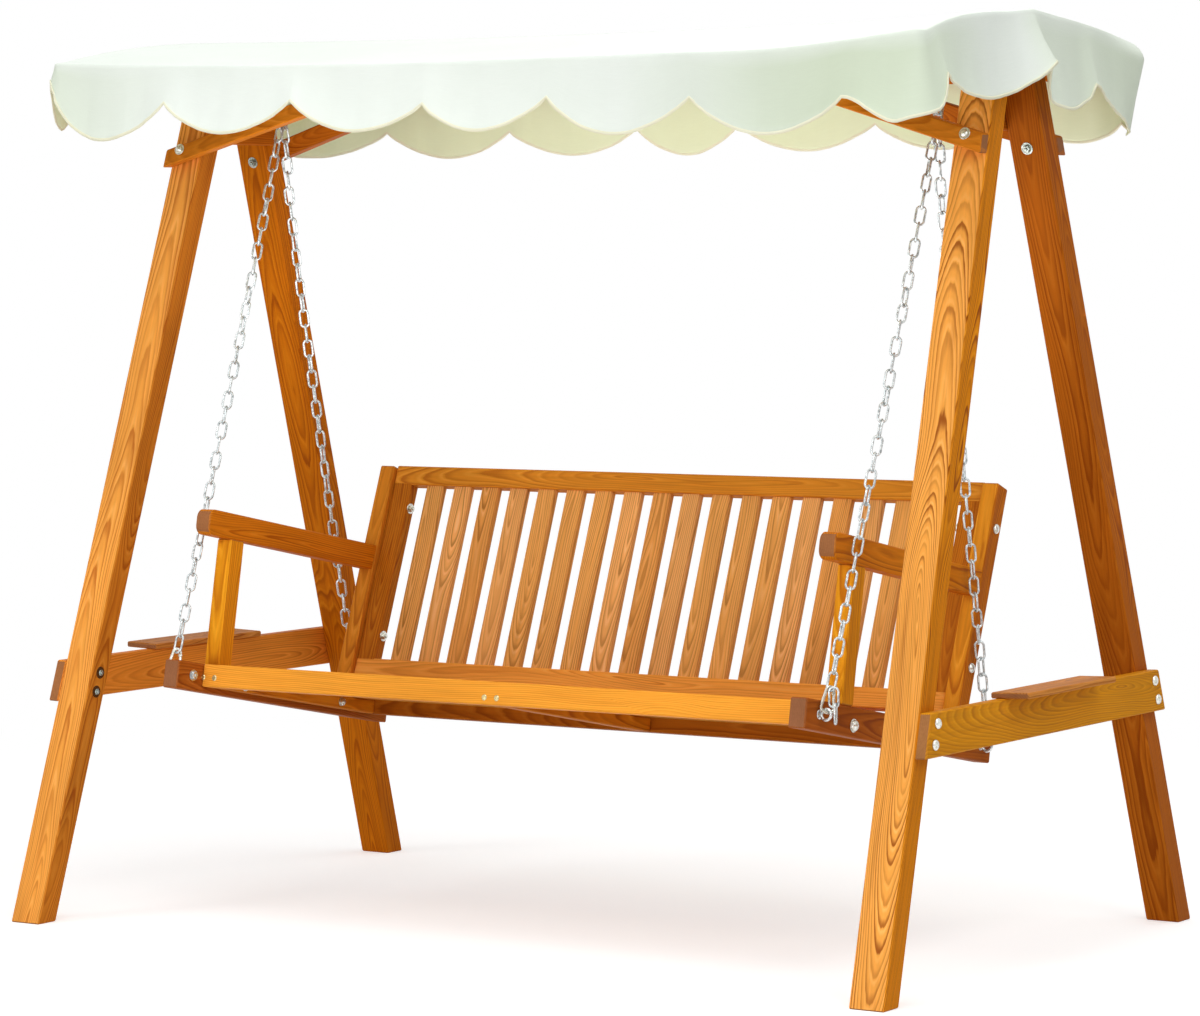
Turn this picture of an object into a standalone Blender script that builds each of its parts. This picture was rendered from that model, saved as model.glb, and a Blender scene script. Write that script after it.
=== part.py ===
"""Garden canopy swing: a wooden A-frame stand with a cloth canopy and a bench hung on chains.

Units are metres and +Z is up. X runs along the bench, -Y is the front. The origin is on the
ground, under the middle of the stand. Run it with: blender --background --python part.py
"""
import math

import bmesh
import bpy
from mathutils import Matrix, Vector

# Stand
stand_height = 1.755             # underside of the top beam
head_clearance = 0.2127          # from the bench's side out to a leg's outer face, at its head
foot_spread = 0.0573             # a leg's foot is this much further out than its head
foot_half_depth = 0.650          # front face of a front leg at the ground, from the middle
head_half_depth = 0.0943         # and at its head
leg_width = 0.075                # along X
leg_depth = 0.057                # along Y
beam_thick = 0.045
beam_overhang = 0.0173           # past the legs' heads
stretcher_low = 0.451
stretcher_height = 0.084
stretcher_thick = 0.025
shelf_length = 0.374
shelf_width = 0.082
shelf_thick = 0.012
shelf_overhang = 0.050           # past the stretcher's outer face
brace_thick = 0.030
brace_height = 0.038
brace_drop = 0.159               # from the stand's height to a brace's middle, at its foot
brace_reach = 0.632              # along X, from the leg's outer face to the upper end
brace_rise_deg = 16.6
bolt_radius = 0.004
bolt_head_radius = 0.012
bolt_head_height = 0.004
tie_height = 0.128               # of the board that ties two legs at their heads
tie_thick = 0.018
tie_setback = 0.036              # from the legs' outward faces

# Canopy
canopy_overhang = 0.0573         # past the legs' heads
canopy_half_depth = 0.450
canopy_shift = 0.028             # the cloth hangs this far to the left of the stand's middle
canopy_rise = 0.052              # from the beam's top to the ridge
canopy_fall = 0.059              # from the ridge to the eaves
cloth_thick = 0.002
cloth_gap = 0.0008               # from the cloth's inner face to the frame that it lies on
valance_drop = 0.084             # from the roof's edge to a cusp between two scallops
scallop_depth = 0.055
gable_depth = 0.020              # added to a scallop's depth under the ridge
rear_drop = 0.030                # added to the valance's drop along the rear
ridge_sag = 0.012                # of the cloth, halfway along
eave_sag = 0.022
arm_thick = 0.030
arm_tip_height = 0.028
eave_rail_height = 0.024
eave_rail_depth = 0.030
ridge_lath_width = 0.030
ridge_lath_gap = 0.066           # from a hook to the lath's end

# Hanging gear
hook_clearance = 0.031           # from the bench's side out to a hook's middle
hook_eye_drop = 0.081            # from the beam's underside to the middle of the eye
hook_eye_radius = 0.0155         # to the middle of the wire
hook_wire = 0.0035
nut_radius = 0.0075
nut_height = 0.006
washer_radius = 0.0095
washer_thick = 0.0015
eye_radius = 0.0105
eye_wire = 0.003
snap_length = 0.050              # spring hook, between wire middles
snap_width = 0.0145
snap_wire = 0.003
link_pitch = 0.034
link_width = 0.0165              # between wire middles
link_wire = 0.0022
link_face = 0.0205               # a link's whole width, seen on its flat side

# Bench, in its own frame: y back along the seat, z square to it
bench_forward = 0.4735           # front end of a side rail, ahead of the hooks
bench_drop = 1.1825              # underside of that end, below the middle of the hooks' eyes
bench_tilt_deg = 10.9
bench_half_width = 0.775         # outer face of a side frame
side_thick = 0.037
side_rail_length = 0.757
side_rail_height = 0.059
eye_front = 0.051                # from the side rail's front end
eye_rear = 0.046                 # from its rear end
eye_height = 0.032
post_front = 0.132
post_depth = 0.046
armrest_front = 0.052
armrest_low = 0.330
armrest_height = 0.054
armrest_round = 0.018
stile_setin = 0.172              # its front face, ahead of the side rail's rear end
stile_depth = 0.044
stile_lean_deg = 10.24
stile_top = 0.567
seat_rail_front = 0.083
seat_rail_thick = 0.037
seat_rail_low = 0.012
seat_rear_setin = 0.101          # its front face, ahead of the side rail's rear end
seat_slat_thick = 0.018
seat_slat_width = 0.065
seat_slat_gap = 0.011
bearer_width = 0.037
panel_thick = 0.030
panel_setback = 0.012            # behind the stiles' front faces
panel_rail_height = 0.043
panel_low = 0.086
panel_end_width = 0.048
slat_width = 0.044
slat_thick = 0.018
slat_pitch = 0.0741
tenon = 0.012

# Finish
edge_round = 0.0025
weld_reach = 0.00003             # between mesh points that count as one
flat_angle_deg = 1               # between faces that count as flat together
touch = 0.0003                   # between wood faces that rest on each other
bore_clearance = 0.0003
overrun = 0.010
wire_resolution = 1
loop_points = 16
round_sides = 16
nut_sides = 6
edge_segments = 1
front_segments = 4
cloth_rows = 2
front_steps = 4                  # between two stops of the valance, on the long sides
side_steps = 3
sag_power = 2

# Where the valance turns a corner or has a cusp, as shares of the canopy's half width or depth
front_stop_shares = (-1.0, -0.710, -0.400, -0.083, 0.196, 0.514, 0.849, 1.0)
rear_stop_shares = (-1.0, -0.793, -0.476, -0.155, 0.090, 0.411, 0.720, 1.0)
left_stop_shares = (-1.0, -0.5, 0.0, 0.5, 1.0)
right_stop_shares = (-1.0, -0.89, 0.0, 0.458, 1.0)

# Worked out from these
LEAN = (foot_half_depth - head_half_depth) / stand_height
SPLAY = foot_spread / stand_height
STILE_LEAN = math.tan(math.radians(stile_lean_deg))
BRACE_RISE = math.tan(math.radians(brace_rise_deg))
head_half_width = bench_half_width + head_clearance
foot_half_width = head_half_width + foot_spread
beam_half_length = head_half_width + beam_overhang
beam_top = stand_height + beam_thick
brace_low = stand_height - brace_drop
canopy_half_width = head_half_width + canopy_overhang
canopy_ridge = beam_top + canopy_rise
canopy_eave = canopy_ridge - canopy_fall
hook_x = bench_half_width + hook_clearance
pivot_z = stand_height - hook_eye_drop
stile_front = side_rail_length - stile_setin
seat_rear_front = side_rail_length - seat_rear_setin
EYES = (("front", eye_front), ("rear", side_rail_length - eye_rear))

for old in list(bpy.data.objects):
    bpy.data.objects.remove(old, do_unlink=True)

parts = bpy.data.collections.new("canopy_swing")
cutters = bpy.data.collections.new("cutters")
bpy.context.scene.collection.children.link(parts)
bpy.context.scene.collection.children.link(cutters)


def principled(name, colour, roughness, metallic):
    """A plain Principled material."""
    material = bpy.data.materials.new(name)
    material.use_nodes = True
    material.diffuse_color = (*colour, 1.0)
    shader = material.node_tree.nodes["Principled BSDF"]
    shader.inputs["Base Color"].default_value = (*colour, 1.0)
    shader.inputs["Roughness"].default_value = roughness
    shader.inputs["Metallic"].default_value = metallic
    return material


MATERIALS = {
    "stained_wood": principled("stained_wood", (0.62, 0.27, 0.06), 0.5, 0.0),
    "hidden_wood": principled("hidden_wood", (0.50, 0.22, 0.06), 0.6, 0.0),
    "zinc_steel": principled("zinc_steel", (0.70, 0.70, 0.68), 0.35, 1.0),
    "canvas": principled("canvas", (0.86, 0.84, 0.76), 0.9, 0.0),
}


def add_object(name, mesh, material, collection=parts, parent=None, location=(0, 0, 0)):
    """Link a mesh as a named object, with a material of its own."""
    if collection is parts:
        own = MATERIALS[material].copy()
        own.name = name
        mesh.materials.append(own)
    piece = bpy.data.objects.new(name, mesh)
    piece.location = location
    piece.parent = parent
    collection.objects.link(piece)
    if collection is cutters:
        piece.hide_render = True
        piece.display_type = "WIRE"
    return piece


def block_mesh(name, low, high, warp=None):
    """A box between two corners. warp moves each of its points. Returns the mesh and its middle."""
    low = Vector(low)
    high = Vector(high)
    middle = (low + high) / 2
    shape = bmesh.new()
    bmesh.ops.create_cube(shape, size=1)
    for vertex in shape.verts:
        point = middle + Vector(a * b for a, b in zip(vertex.co, high - low))
        vertex.co = warp(point) if warp else point
    centre = sum((v.co for v in shape.verts), Vector()) / len(shape.verts)
    bmesh.ops.translate(shape, verts=shape.verts, vec=-centre)
    bmesh.ops.recalc_face_normals(shape, faces=shape.faces)
    mesh = bpy.data.meshes.new(name)
    shape.to_mesh(mesh)
    shape.free()
    return mesh, centre


def soften(piece, width=edge_round):
    """Round a wooden piece's edges."""
    bevel = piece.modifiers.new("edges", "BEVEL")
    bevel.width = width
    bevel.segments = edge_segments
    bevel.limit_method = "ANGLE"


def timber(name, low, high, warp=None, parent=None, material="stained_wood"):
    """A sawn board or post with softened edges."""
    mesh, centre = block_mesh(name, low, high, warp)
    piece = add_object(name, mesh, material, parts, parent, centre)
    soften(piece)
    return piece


def boolean(target, tool, operation):
    """Cut or join with another object, which stays hidden."""
    step = target.modifiers.new(operation.lower(), "BOOLEAN")
    step.operation = operation
    step.solver = "EXACT"
    step.object = tool


def cutter_rod(name, start, end, radius, parent=None):
    """A round cutter between two points."""
    mesh = rod_mesh(name, Vector(start), Vector(end), radius)
    return add_object(name, mesh, None, cutters, parent)


def rod_mesh(name, start, end, radius, sides=round_sides):
    """A closed cylinder between two points."""
    axis = end - start
    turn = axis.to_track_quat("Z", "Y").to_matrix().to_4x4()
    shape = bmesh.new()
    bmesh.ops.create_cone(shape, cap_ends=True, segments=sides, radius1=radius, radius2=radius,
                          depth=axis.length, matrix=Matrix.Translation((start + end) / 2) @ turn)
    mesh = bpy.data.meshes.new(name)
    shape.to_mesh(mesh)
    shape.free()
    return mesh


def stadium(length, width, count):
    """Points round a loop with two straight sides, as (across, along), from its near end."""
    radius = width / 2
    straight = length - width
    points = []
    half = count // 2
    for step in range(half + 1):
        angle = math.pi * (step / half)
        points.append((radius * math.cos(angle), straight / 2 + radius * math.sin(angle)))
    for step in range(half + 1):
        angle = math.pi * (step / half)
        points.append((-radius * math.cos(angle), -straight / 2 - radius * math.sin(angle)))
    if straight > 0:
        return points
    return points[:half] + points[half + 1:-1]


def loop_mesh(name, centre, across, along, length, width, wire):
    """A closed wire loop with its middle at centre, lying in the plane of across and along."""
    curve = bpy.data.curves.new(name, "CURVE")
    curve.dimensions = "3D"
    curve.bevel_depth = wire
    curve.bevel_resolution = wire_resolution
    curve.resolution_u = 1
    spots = stadium(length, width, loop_points)
    spline = curve.splines.new("POLY")
    spline.points.add(len(spots) - 1)
    for point, (a, b) in zip(spline.points, spots):
        point.co = (*(centre + across * a + along * b), 1)
    spline.use_cyclic_u = True
    holder = bpy.data.objects.new(name, curve)
    bpy.context.scene.collection.objects.link(holder)
    bpy.context.view_layer.update()
    graph = bpy.context.evaluated_depsgraph_get()
    mesh = bpy.data.meshes.new_from_object(holder.evaluated_get(graph))
    bpy.data.objects.remove(holder, do_unlink=True)
    shape = bmesh.new()
    shape.from_mesh(mesh)
    bmesh.ops.remove_doubles(shape, verts=shape.verts, dist=weld_reach)
    bmesh.ops.recalc_face_normals(shape, faces=shape.faces)
    shape.to_mesh(mesh)
    shape.free()
    mesh.materials.clear()
    return mesh


def tool_object(name, mesh, parent=None):
    """A hidden object to join to another."""
    return add_object(name, mesh, None, cutters, parent)


SIDES = (("left", -1), ("right", 1))
ENDS = (("front", -1), ("rear", 1))


def outer_x(z):
    """X of a leg's outer face at a height."""
    return foot_half_width - SPLAY * z


def face_y(z):
    """Distance of a leg's outward face from the middle plane at a height."""
    return foot_half_depth - LEAN * z


def build_legs():
    """Four legs whose tops are cut level under the beam."""
    for end, ys in ENDS:
        for side, xs in SIDES:
            def lean(p):
                return Vector((xs * (p.x - SPLAY * p.z), ys * (p.y - LEAN * p.z), p.z))
            timber(f"leg_{end}_{side}",
                   (foot_half_width - leg_width, foot_half_depth - leg_depth, 0),
                   (foot_half_width, foot_half_depth, stand_height - touch), lean)


def build_beam():
    """The beam that caps the legs, its edges planed to the legs' slope, bored for the hooks."""
    def plane(p):
        return Vector((p.x, math.copysign(face_y(p.z), p.y), p.z))
    beam = timber("top_beam", (-beam_half_length, -leg_depth, stand_height),
                  (beam_half_length, leg_depth, beam_top), plane)
    for side, xs in SIDES:
        bore = cutter_rod(f"hook_bore_{side}", (xs * hook_x, 0, stand_height - overrun),
                          (xs * hook_x, 0, beam_top + overrun), hook_wire + bore_clearance)
        boolean(beam, bore, "DIFFERENCE")


def build_side_boards():
    """The stretcher and the shelf on each side."""
    high = stretcher_low + stretcher_height
    for side, xs in SIDES:
        def lie_flat(p):
            """From the side frame's own plane, where x is out of the legs' outer face."""
            return Vector((xs * (outer_x(p.z) + p.x), p.y, p.z + SPLAY * p.x))

        def end_cut(p):
            flat = lie_flat(p)
            flat.y = math.copysign(face_y(p.z), p.y)
            return flat
        timber(f"stretcher_{side}", (touch, -foot_half_depth, stretcher_low),
               (stretcher_thick, foot_half_depth, high), end_cut)
        outer = stretcher_thick + shelf_overhang
        timber(f"shelf_{side}", (outer - shelf_width, -shelf_length / 2, high + touch),
               (outer, shelf_length / 2, high + touch + shelf_thick), lie_flat)


def build_braces():
    """Knee braces on the outward faces of the legs, up to the beam's planed edges."""
    for end, ys in ENDS:
        for side, xs in SIDES:
            def on_legs(p):
                """x inwards from the leg's outer face, y out of the leg, z across the brace."""
                z = brace_low + BRACE_RISE * p.x + p.z
                return Vector((xs * (outer_x(z) - p.x), ys * (face_y(z) + p.y), z))
            timber(f"brace_{end}_{side}", (0, touch, -brace_height / 2),
                   (brace_reach, brace_thick, brace_height / 2), on_legs)


def build_ties():
    """A short board on the legs' inner sides ties each pair together under the beam."""
    for side, xs in SIDES:
        def on_legs(p):
            """x in from the legs' inner sides, y kept back from their outward faces."""
            y = math.copysign(face_y(p.z) - tie_setback, p.y)
            return Vector((xs * (outer_x(p.z) - leg_width - p.x), y, p.z))
        timber(f"apex_tie_{side}", (touch, -foot_half_depth, stand_height - tie_height),
               (touch + tie_thick, foot_half_depth, stand_height - touch), on_legs)


def build_brace_bolts():
    """A through bolt at each brace's foot, with its head outside and its nut on the leg."""
    tilt = math.cos(math.atan(LEAN))
    for end, ys in ENDS:
        for side, xs in SIDES:
            z = brace_low + BRACE_RISE * leg_width / 2
            out = Vector((0, ys, LEAN)).normalized()
            seat = Vector((xs * (outer_x(z) - leg_width / 2), ys * face_y(z), z))
            head = seat + out * (brace_thick * tilt + touch)
            back = seat - out * (leg_depth * tilt + touch)
            tail = back - out * (nut_height + washer_thick)
            name = f"brace_bolt_{end}_{side}"
            cap = rod_mesh(name, head, head + out * bolt_head_height, bolt_head_radius)
            bolt = add_object(name, cap, "zinc_steel")
            shank = rod_mesh(name, head + out * bolt_head_height / 2, tail, bolt_radius)
            boolean(bolt, tool_object(f"{name}_shank", shank), "UNION")
            nut = rod_mesh(name, back, back - out * nut_height, nut_radius, nut_sides)
            boolean(bolt, tool_object(f"{name}_nut", nut), "UNION")
            bore = cutter_rod(f"{name}_bore", head + out * overrun, tail - out * overrun,
                              bolt_radius + bore_clearance)
            for pierced in (f"leg_{end}_{side}", f"brace_{end}_{side}"):
                boolean(bpy.data.objects[pierced], bore, "DIFFERENCE")


def roof_z(y):
    """Height of the canopy's top surface across its depth, at its two ends."""
    slope = (canopy_ridge - canopy_eave) / canopy_half_depth
    return canopy_ridge - slope * abs(y)


def sag(x_share, y_share):
    """How far the cloth sags between the gable arms."""
    return (ridge_sag + (eave_sag - ridge_sag) * abs(y_share)) * (1 - abs(x_share) ** sag_power)


def build_canopy_frame():
    """Two gable arms on the beam's ends, two eave rails under their tips and a ridge lath."""
    reach = canopy_half_depth - cloth_thick - cloth_gap
    under = cloth_thick + cloth_gap
    tips = []
    for side, xs in SIDES:
        x_share = (xs * (beam_half_length - arm_thick) + canopy_shift) / canopy_half_width
        tip = roof_z(reach) - under - sag(x_share, 1)
        low = tip - arm_tip_height
        foot = face_y(beam_top)
        outline = [(-reach, tip), (0, canopy_ridge - under - sag(x_share, 0)), (reach, tip),
                   (reach, low), (foot, beam_top + touch), (-foot, beam_top + touch),
                   (-reach, low)]
        name = f"canopy_arm_{side}"
        arm = add_object(name, slab_mesh(name, outline, arm_thick), "hidden_wood", parts, None,
                         (xs * (beam_half_length - arm_thick / 2), 0, 0))
        soften(arm)
        tips.append(low)
    rail_top = min(tips) - touch
    rail_low = rail_top - eave_rail_height
    near = reach - eave_rail_depth
    for end, ys in ENDS:
        timber(f"eave_rail_{end}", (-beam_half_length, min(ys * near, ys * reach), rail_low),
               (beam_half_length, max(ys * near, ys * reach), rail_top), None, None,
               "hidden_wood")
    lath_top = roof_z(ridge_lath_width / 2) - under - ridge_sag
    end = hook_x - ridge_lath_gap
    timber("ridge_lath", (-end, -ridge_lath_width / 2, beam_top + touch),
           (end, ridge_lath_width / 2, lath_top), None, None, "hidden_wood")


def slab_mesh(name, outline, thick):
    """A flat outline in the YZ plane, extruded along X about the middle."""
    curve = bpy.data.curves.new(name, "CURVE")
    curve.dimensions = "2D"
    curve.fill_mode = "BOTH"
    curve.extrude = thick / 2
    spline = curve.splines.new("POLY")
    spline.points.add(len(outline) - 1)
    for point, (y, z) in zip(spline.points, outline):
        point.co = (y, z, 0, 1)
    spline.use_cyclic_u = True
    holder = bpy.data.objects.new(name, curve)
    bpy.context.scene.collection.objects.link(holder)
    bpy.context.view_layer.update()
    graph = bpy.context.evaluated_depsgraph_get()
    mesh = bpy.data.meshes.new_from_object(holder.evaluated_get(graph))
    bpy.data.objects.remove(holder, do_unlink=True)
    shape = bmesh.new()
    shape.from_mesh(mesh)
    bmesh.ops.remove_doubles(shape, verts=shape.verts, dist=weld_reach)
    bmesh.ops.dissolve_limit(shape, angle_limit=math.radians(flat_angle_deg), verts=shape.verts,
                             edges=shape.edges)
    upright = Matrix(((0, 0, 1, 0), (1, 0, 0, 0), (0, 1, 0, 0), (0, 0, 0, 1)))
    bmesh.ops.transform(shape, matrix=upright, verts=shape.verts)
    bmesh.ops.recalc_face_normals(shape, faces=shape.faces)
    shape.to_mesh(mesh)
    shape.free()
    mesh.materials.clear()
    return mesh


def between(stops, steps):
    """The stops and the points that divide each stretch between two of them."""
    points = []
    for near, far in zip(stops, stops[1:]):
        points += [near + (far - near) * step / steps for step in range(steps)]
    return points + [stops[-1]]


def scallop_drops(tops, cusps):
    """How far the valance hangs below each point of the roof's edge, a round between cusps."""
    way = [0.0]
    for top, after in zip(tops, tops[1:] + tops[:1]):
        way.append(way[-1] + (after - top).length)
    around = way[-1]
    drops = []
    for step, top in enumerate(tops):
        start = max(cusp for cusp in cusps if cusp <= step)
        end = min((cusp for cusp in cusps if cusp > step), default=cusps[0] + len(tops))
        end_way = way[end] if end < len(tops) else around + way[end - len(tops)]
        phase = (way[step] - way[start]) / (end_way - way[start])
        raised = 1 - abs(top.y) / canopy_half_depth
        depth = scallop_depth + gable_depth * raised
        drop = valance_drop + rear_drop * max(top.y, 0) / canopy_half_depth
        drops.append(drop + depth * math.sin(math.pi * phase))
    return drops


def build_cover():
    """The cloth: two roof slopes and a scalloped valance all round, in one skin."""
    front = between(front_stop_shares, front_steps)
    rear = between(rear_stop_shares, front_steps)
    left = between(left_stop_shares, side_steps)
    right = between(right_stop_shares, side_steps)
    along = len(front) - 1
    across = len(left) - 1
    shape = bmesh.new()
    grid = {}
    for i in range(along + 1):
        for j in range(across + 1):
            y_share = left[j] + (right[j] - left[j]) * i / along
            x_share = front[i] + (rear[i] - front[i]) * j / across
            y = canopy_half_depth * y_share
            grid[i, j] = shape.verts.new((canopy_half_width * x_share - canopy_shift, y,
                                          roof_z(y) - sag(x_share, y_share)))
    for i in range(along):
        for j in range(across):
            shape.faces.new((grid[i, j], grid[i + 1, j], grid[i + 1, j + 1], grid[i, j + 1]))
    rim = [(i, 0) for i in range(along)] + [(along, j) for j in range(across)]
    rim += [(i, across) for i in range(along, 0, -1)] + [(0, j) for j in range(across, 0, -1)]
    turned = [(along, 0), (along, across), (0, across)]
    cusps = [step for step, (i, j) in enumerate(rim) if (i, j) not in turned
             and (i % front_steps == 0 if j in (0, across) else j % side_steps == 0)]
    last = [grid[spot] for spot in rim]
    tops = [vertex.co.copy() for vertex in last]
    drops = scallop_drops(tops, cusps)
    for row in range(1, cloth_rows + 1):
        ring = []
        for top, drop in zip(tops, drops):
            ring.append(shape.verts.new(top - Vector((0, 0, drop * row / cloth_rows))))
        for step in range(len(ring)):
            after = (step + 1) % len(ring)
            shape.faces.new((last[after], last[step], ring[step], ring[after]))
        last = ring
    bmesh.ops.recalc_face_normals(shape, faces=shape.faces)
    middle_face = min(shape.faces, key=lambda f: f.calc_center_median().xy.length)
    if middle_face.normal.z < 0:
        bmesh.ops.reverse_faces(shape, faces=shape.faces)
    mesh = bpy.data.meshes.new("canopy_cover")
    shape.to_mesh(mesh)
    shape.free()
    cover = add_object("canopy_cover", mesh, "canvas")
    skin = cover.modifiers.new("cloth", "SOLIDIFY")
    skin.thickness = cloth_thick
    skin.offset = -1
    skin.use_even_offset = True


swing_pivot = bpy.data.objects.new("swing_pivot", None)
swing_pivot.location = (0, 0, pivot_z)
parts.objects.link(swing_pivot)
bench_frame = bpy.data.objects.new("bench_frame", None)
bench_frame.parent = swing_pivot
bench_frame.location = (0, -bench_forward, -bench_drop)
bench_frame.rotation_euler = (-math.radians(bench_tilt_deg), 0, 0)
parts.objects.link(bench_frame)
bpy.context.view_layer.update()
BENCH = bench_frame.matrix_world.copy()


def build_top_hooks():
    """An eye bolt through the beam on each side, with its nut on top."""
    for side, xs in SIDES:
        name = f"top_hook_{side}"
        eye = Vector((xs * hook_x, 0, pivot_z))
        mesh = loop_mesh(name, eye, Vector((0, 1, 0)), Vector((0, 0, 1)), hook_eye_radius * 2,
                         hook_eye_radius * 2, hook_wire)
        hook = add_object(name, mesh, "zinc_steel")
        nut_top = beam_top + touch + washer_thick + nut_height
        shank = rod_mesh(name, eye + Vector((0, 0, hook_eye_radius)),
                         Vector((eye.x, 0, nut_top + washer_thick)), hook_wire)
        boolean(hook, tool_object(f"hook_shank_{side}", shank), "UNION")
        low = Vector((eye.x, 0, beam_top + touch))
        washer = rod_mesh(name, low, low + Vector((0, 0, washer_thick)), washer_radius)
        boolean(hook, tool_object(f"hook_washer_{side}", washer), "UNION")
        nut = rod_mesh(name, low + Vector((0, 0, washer_thick / 2)),
                       Vector((eye.x, 0, nut_top)), nut_radius, nut_sides)
        boolean(hook, tool_object(f"hook_nut_{side}", nut), "UNION")


def on_bench(name, low, high, warp=None, material="stained_wood"):
    """A board in the bench's own frame."""
    return timber(name, low, high, warp, bench_frame, material)


def leaning(p):
    """Move a point back with the stiles' lean."""
    return Vector((p.x, p.y + STILE_LEAN * p.z, p.z))


def build_side_frames():
    """Side rails with their eye bolts, rear stiles, arm posts and armrests."""
    inner = bench_half_width - side_thick
    for side, xs in SIDES:
        lo = min(xs * inner, xs * bench_half_width)
        hi = max(xs * inner, xs * bench_half_width)
        rail = on_bench(f"side_rail_{side}", (lo, 0, 0), (hi, side_rail_length, side_rail_height))
        for end, y in EYES:
            build_eye(end, side, xs, y, inner, rail)
        seat = side_rail_height + touch

        def square_top(p):
            """The top end is cut square to the lean."""
            moved = leaning(p)
            if p.z > armrest_low:
                moved.z -= STILE_LEAN * (p.y - stile_front)
            return moved
        on_bench(f"back_stile_{side}", (lo, stile_front, seat),
                 (hi, stile_front + stile_depth, stile_top), square_top)
        on_bench(f"arm_post_{side}", (lo, post_front, seat),
                 (hi, post_front + post_depth, armrest_low - touch))

        def meet_stile(p):
            """The rear end is cut to the stile's lean."""
            return leaning(p) if p.y > post_front + post_depth else p.copy()
        armrest = on_bench(f"armrest_{side}", (lo, armrest_front, armrest_low),
                           (hi, stile_front - touch, armrest_low + armrest_height), meet_stile)
        round_front(armrest)


def round_front(armrest):
    """Round the two cross edges at an armrest's front end with a wide bevel."""
    mesh = armrest.data
    weights = mesh.attributes.new("bevel_weight_edge", "FLOAT", "EDGE")
    foremost = min(v.co.y for v in mesh.vertices)
    for edge in mesh.edges:
        ends = [mesh.vertices[i].co for i in edge.vertices]
        if all(co.y < foremost + armrest_round for co in ends):
            across = abs(ends[0].x - ends[1].x) > abs(ends[0].z - ends[1].z)
            weights.data[edge.index].value = 1.0 if across else 0.0
    wide = armrest.modifiers.new("front", "BEVEL")
    wide.limit_method = "WEIGHT"
    wide.width = armrest_round
    wide.segments = front_segments
    armrest.modifiers.move(len(armrest.modifiers) - 1, 0)


def build_eye(end, side, xs, y, inner, rail):
    """An eye bolt through a side rail, with its nut on the inner face."""
    name = f"eye_bolt_{end}_{side}"
    centre_x = xs * (bench_half_width + touch + washer_thick + eye_wire + eye_radius)
    eye = Vector((centre_x, y, eye_height))
    mesh = loop_mesh(name, eye, Vector((1, 0, 0)), Vector((0, 0, 1)), eye_radius * 2,
                     eye_radius * 2, eye_wire)
    bolt = add_object(name, mesh, "zinc_steel", parts, bench_frame)
    start = eye - Vector((xs * eye_radius, 0, 0))
    nut_face = xs * (inner - touch)
    tail = Vector((nut_face - xs * (nut_height + washer_thick), y, eye_height))
    shank = rod_mesh(name, start, tail, eye_wire)
    boolean(bolt, tool_object(f"{name}_shank", shank, bench_frame), "UNION")
    nut = rod_mesh(name, Vector((nut_face, y, eye_height)),
                   Vector((nut_face - xs * nut_height, y, eye_height)), nut_radius, nut_sides)
    boolean(bolt, tool_object(f"{name}_nut", nut, bench_frame), "UNION")
    flange_x = xs * (bench_half_width + touch)
    flange = rod_mesh(name, Vector((flange_x, y, eye_height)),
                      Vector((flange_x + xs * washer_thick, y, eye_height)), washer_radius)
    boolean(bolt, tool_object(f"{name}_flange", flange, bench_frame), "UNION")
    bore = cutter_rod(f"{name}_bore", (xs * (inner - overrun), y, eye_height),
                      (xs * (bench_half_width + overrun), y, eye_height),
                      eye_wire + bore_clearance, bench_frame)
    boolean(rail, bore, "DIFFERENCE")


def build_seat():
    """Front and rear rails, three bearers and the slats that lie on them."""
    half = bench_half_width - side_thick - touch
    top = side_rail_height
    on_bench("seat_front_rail", (-half, seat_rail_front, seat_rail_low),
             (half, seat_rail_front + seat_rail_thick, top))
    on_bench("seat_rear_rail", (-half, seat_rear_front, seat_rail_low),
             (half, seat_rear_front + seat_rail_thick, top))
    front = seat_rail_front + seat_rail_thick + touch
    rear = seat_rear_front - touch
    slat_low = top - seat_slat_thick
    places = (("left", -half), ("middle", -bearer_width / 2), ("right", half - bearer_width))
    for place, x in places:
        on_bench(f"seat_bearer_{place}", (x, front, seat_rail_low),
                 (x + bearer_width, rear, slat_low - touch))
    room = rear - front
    count = int((room - seat_slat_gap) // (seat_slat_width + seat_slat_gap))
    gap = (room - count * seat_slat_width) / (count + 1)
    for number in range(count):
        y = front + gap + number * (seat_slat_width + gap)
        on_bench(f"seat_slat_{number + 1}", (-half, y, slat_low),
                 (half, y + seat_slat_width, top))


def build_back():
    """The back panel: two rails, two end stiles and upright slats, glued into one piece."""
    half = bench_half_width - side_thick - touch
    front = stile_front + panel_setback
    rear = front + panel_thick
    top = stile_top
    low_rail_top = panel_low + panel_rail_height
    high_rail_low = top - panel_rail_height
    panel = on_bench("back_panel", (-half, front, high_rail_low), (half, rear, top), leaning)
    pieces = [((-half, front, panel_low), (half, rear, low_rail_top))]
    for x in (-half, half - panel_end_width):
        pieces.append(((x, front + touch, low_rail_top - tenon),
                       (x + panel_end_width, rear - touch, high_rail_low + tenon)))
    clear = 2 * (half - panel_end_width)
    count = int((clear - slat_width) // slat_pitch)
    inset = (panel_thick - slat_thick) / 2
    for number in range(count):
        x = (number - (count - 1) / 2) * slat_pitch - slat_width / 2
        pieces.append(((x, front + inset, low_rail_top - tenon),
                       (x + slat_width, rear - inset, high_rail_low + tenon)))
    for number, (low, high) in enumerate(pieces):
        name = f"back_panel_piece_{number + 1}"
        mesh, centre = block_mesh(name, low, high, leaning)
        tool = add_object(name, mesh, None, cutters, bench_frame, centre)
        soften(tool)
        boolean(panel, tool, "UNION")


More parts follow.
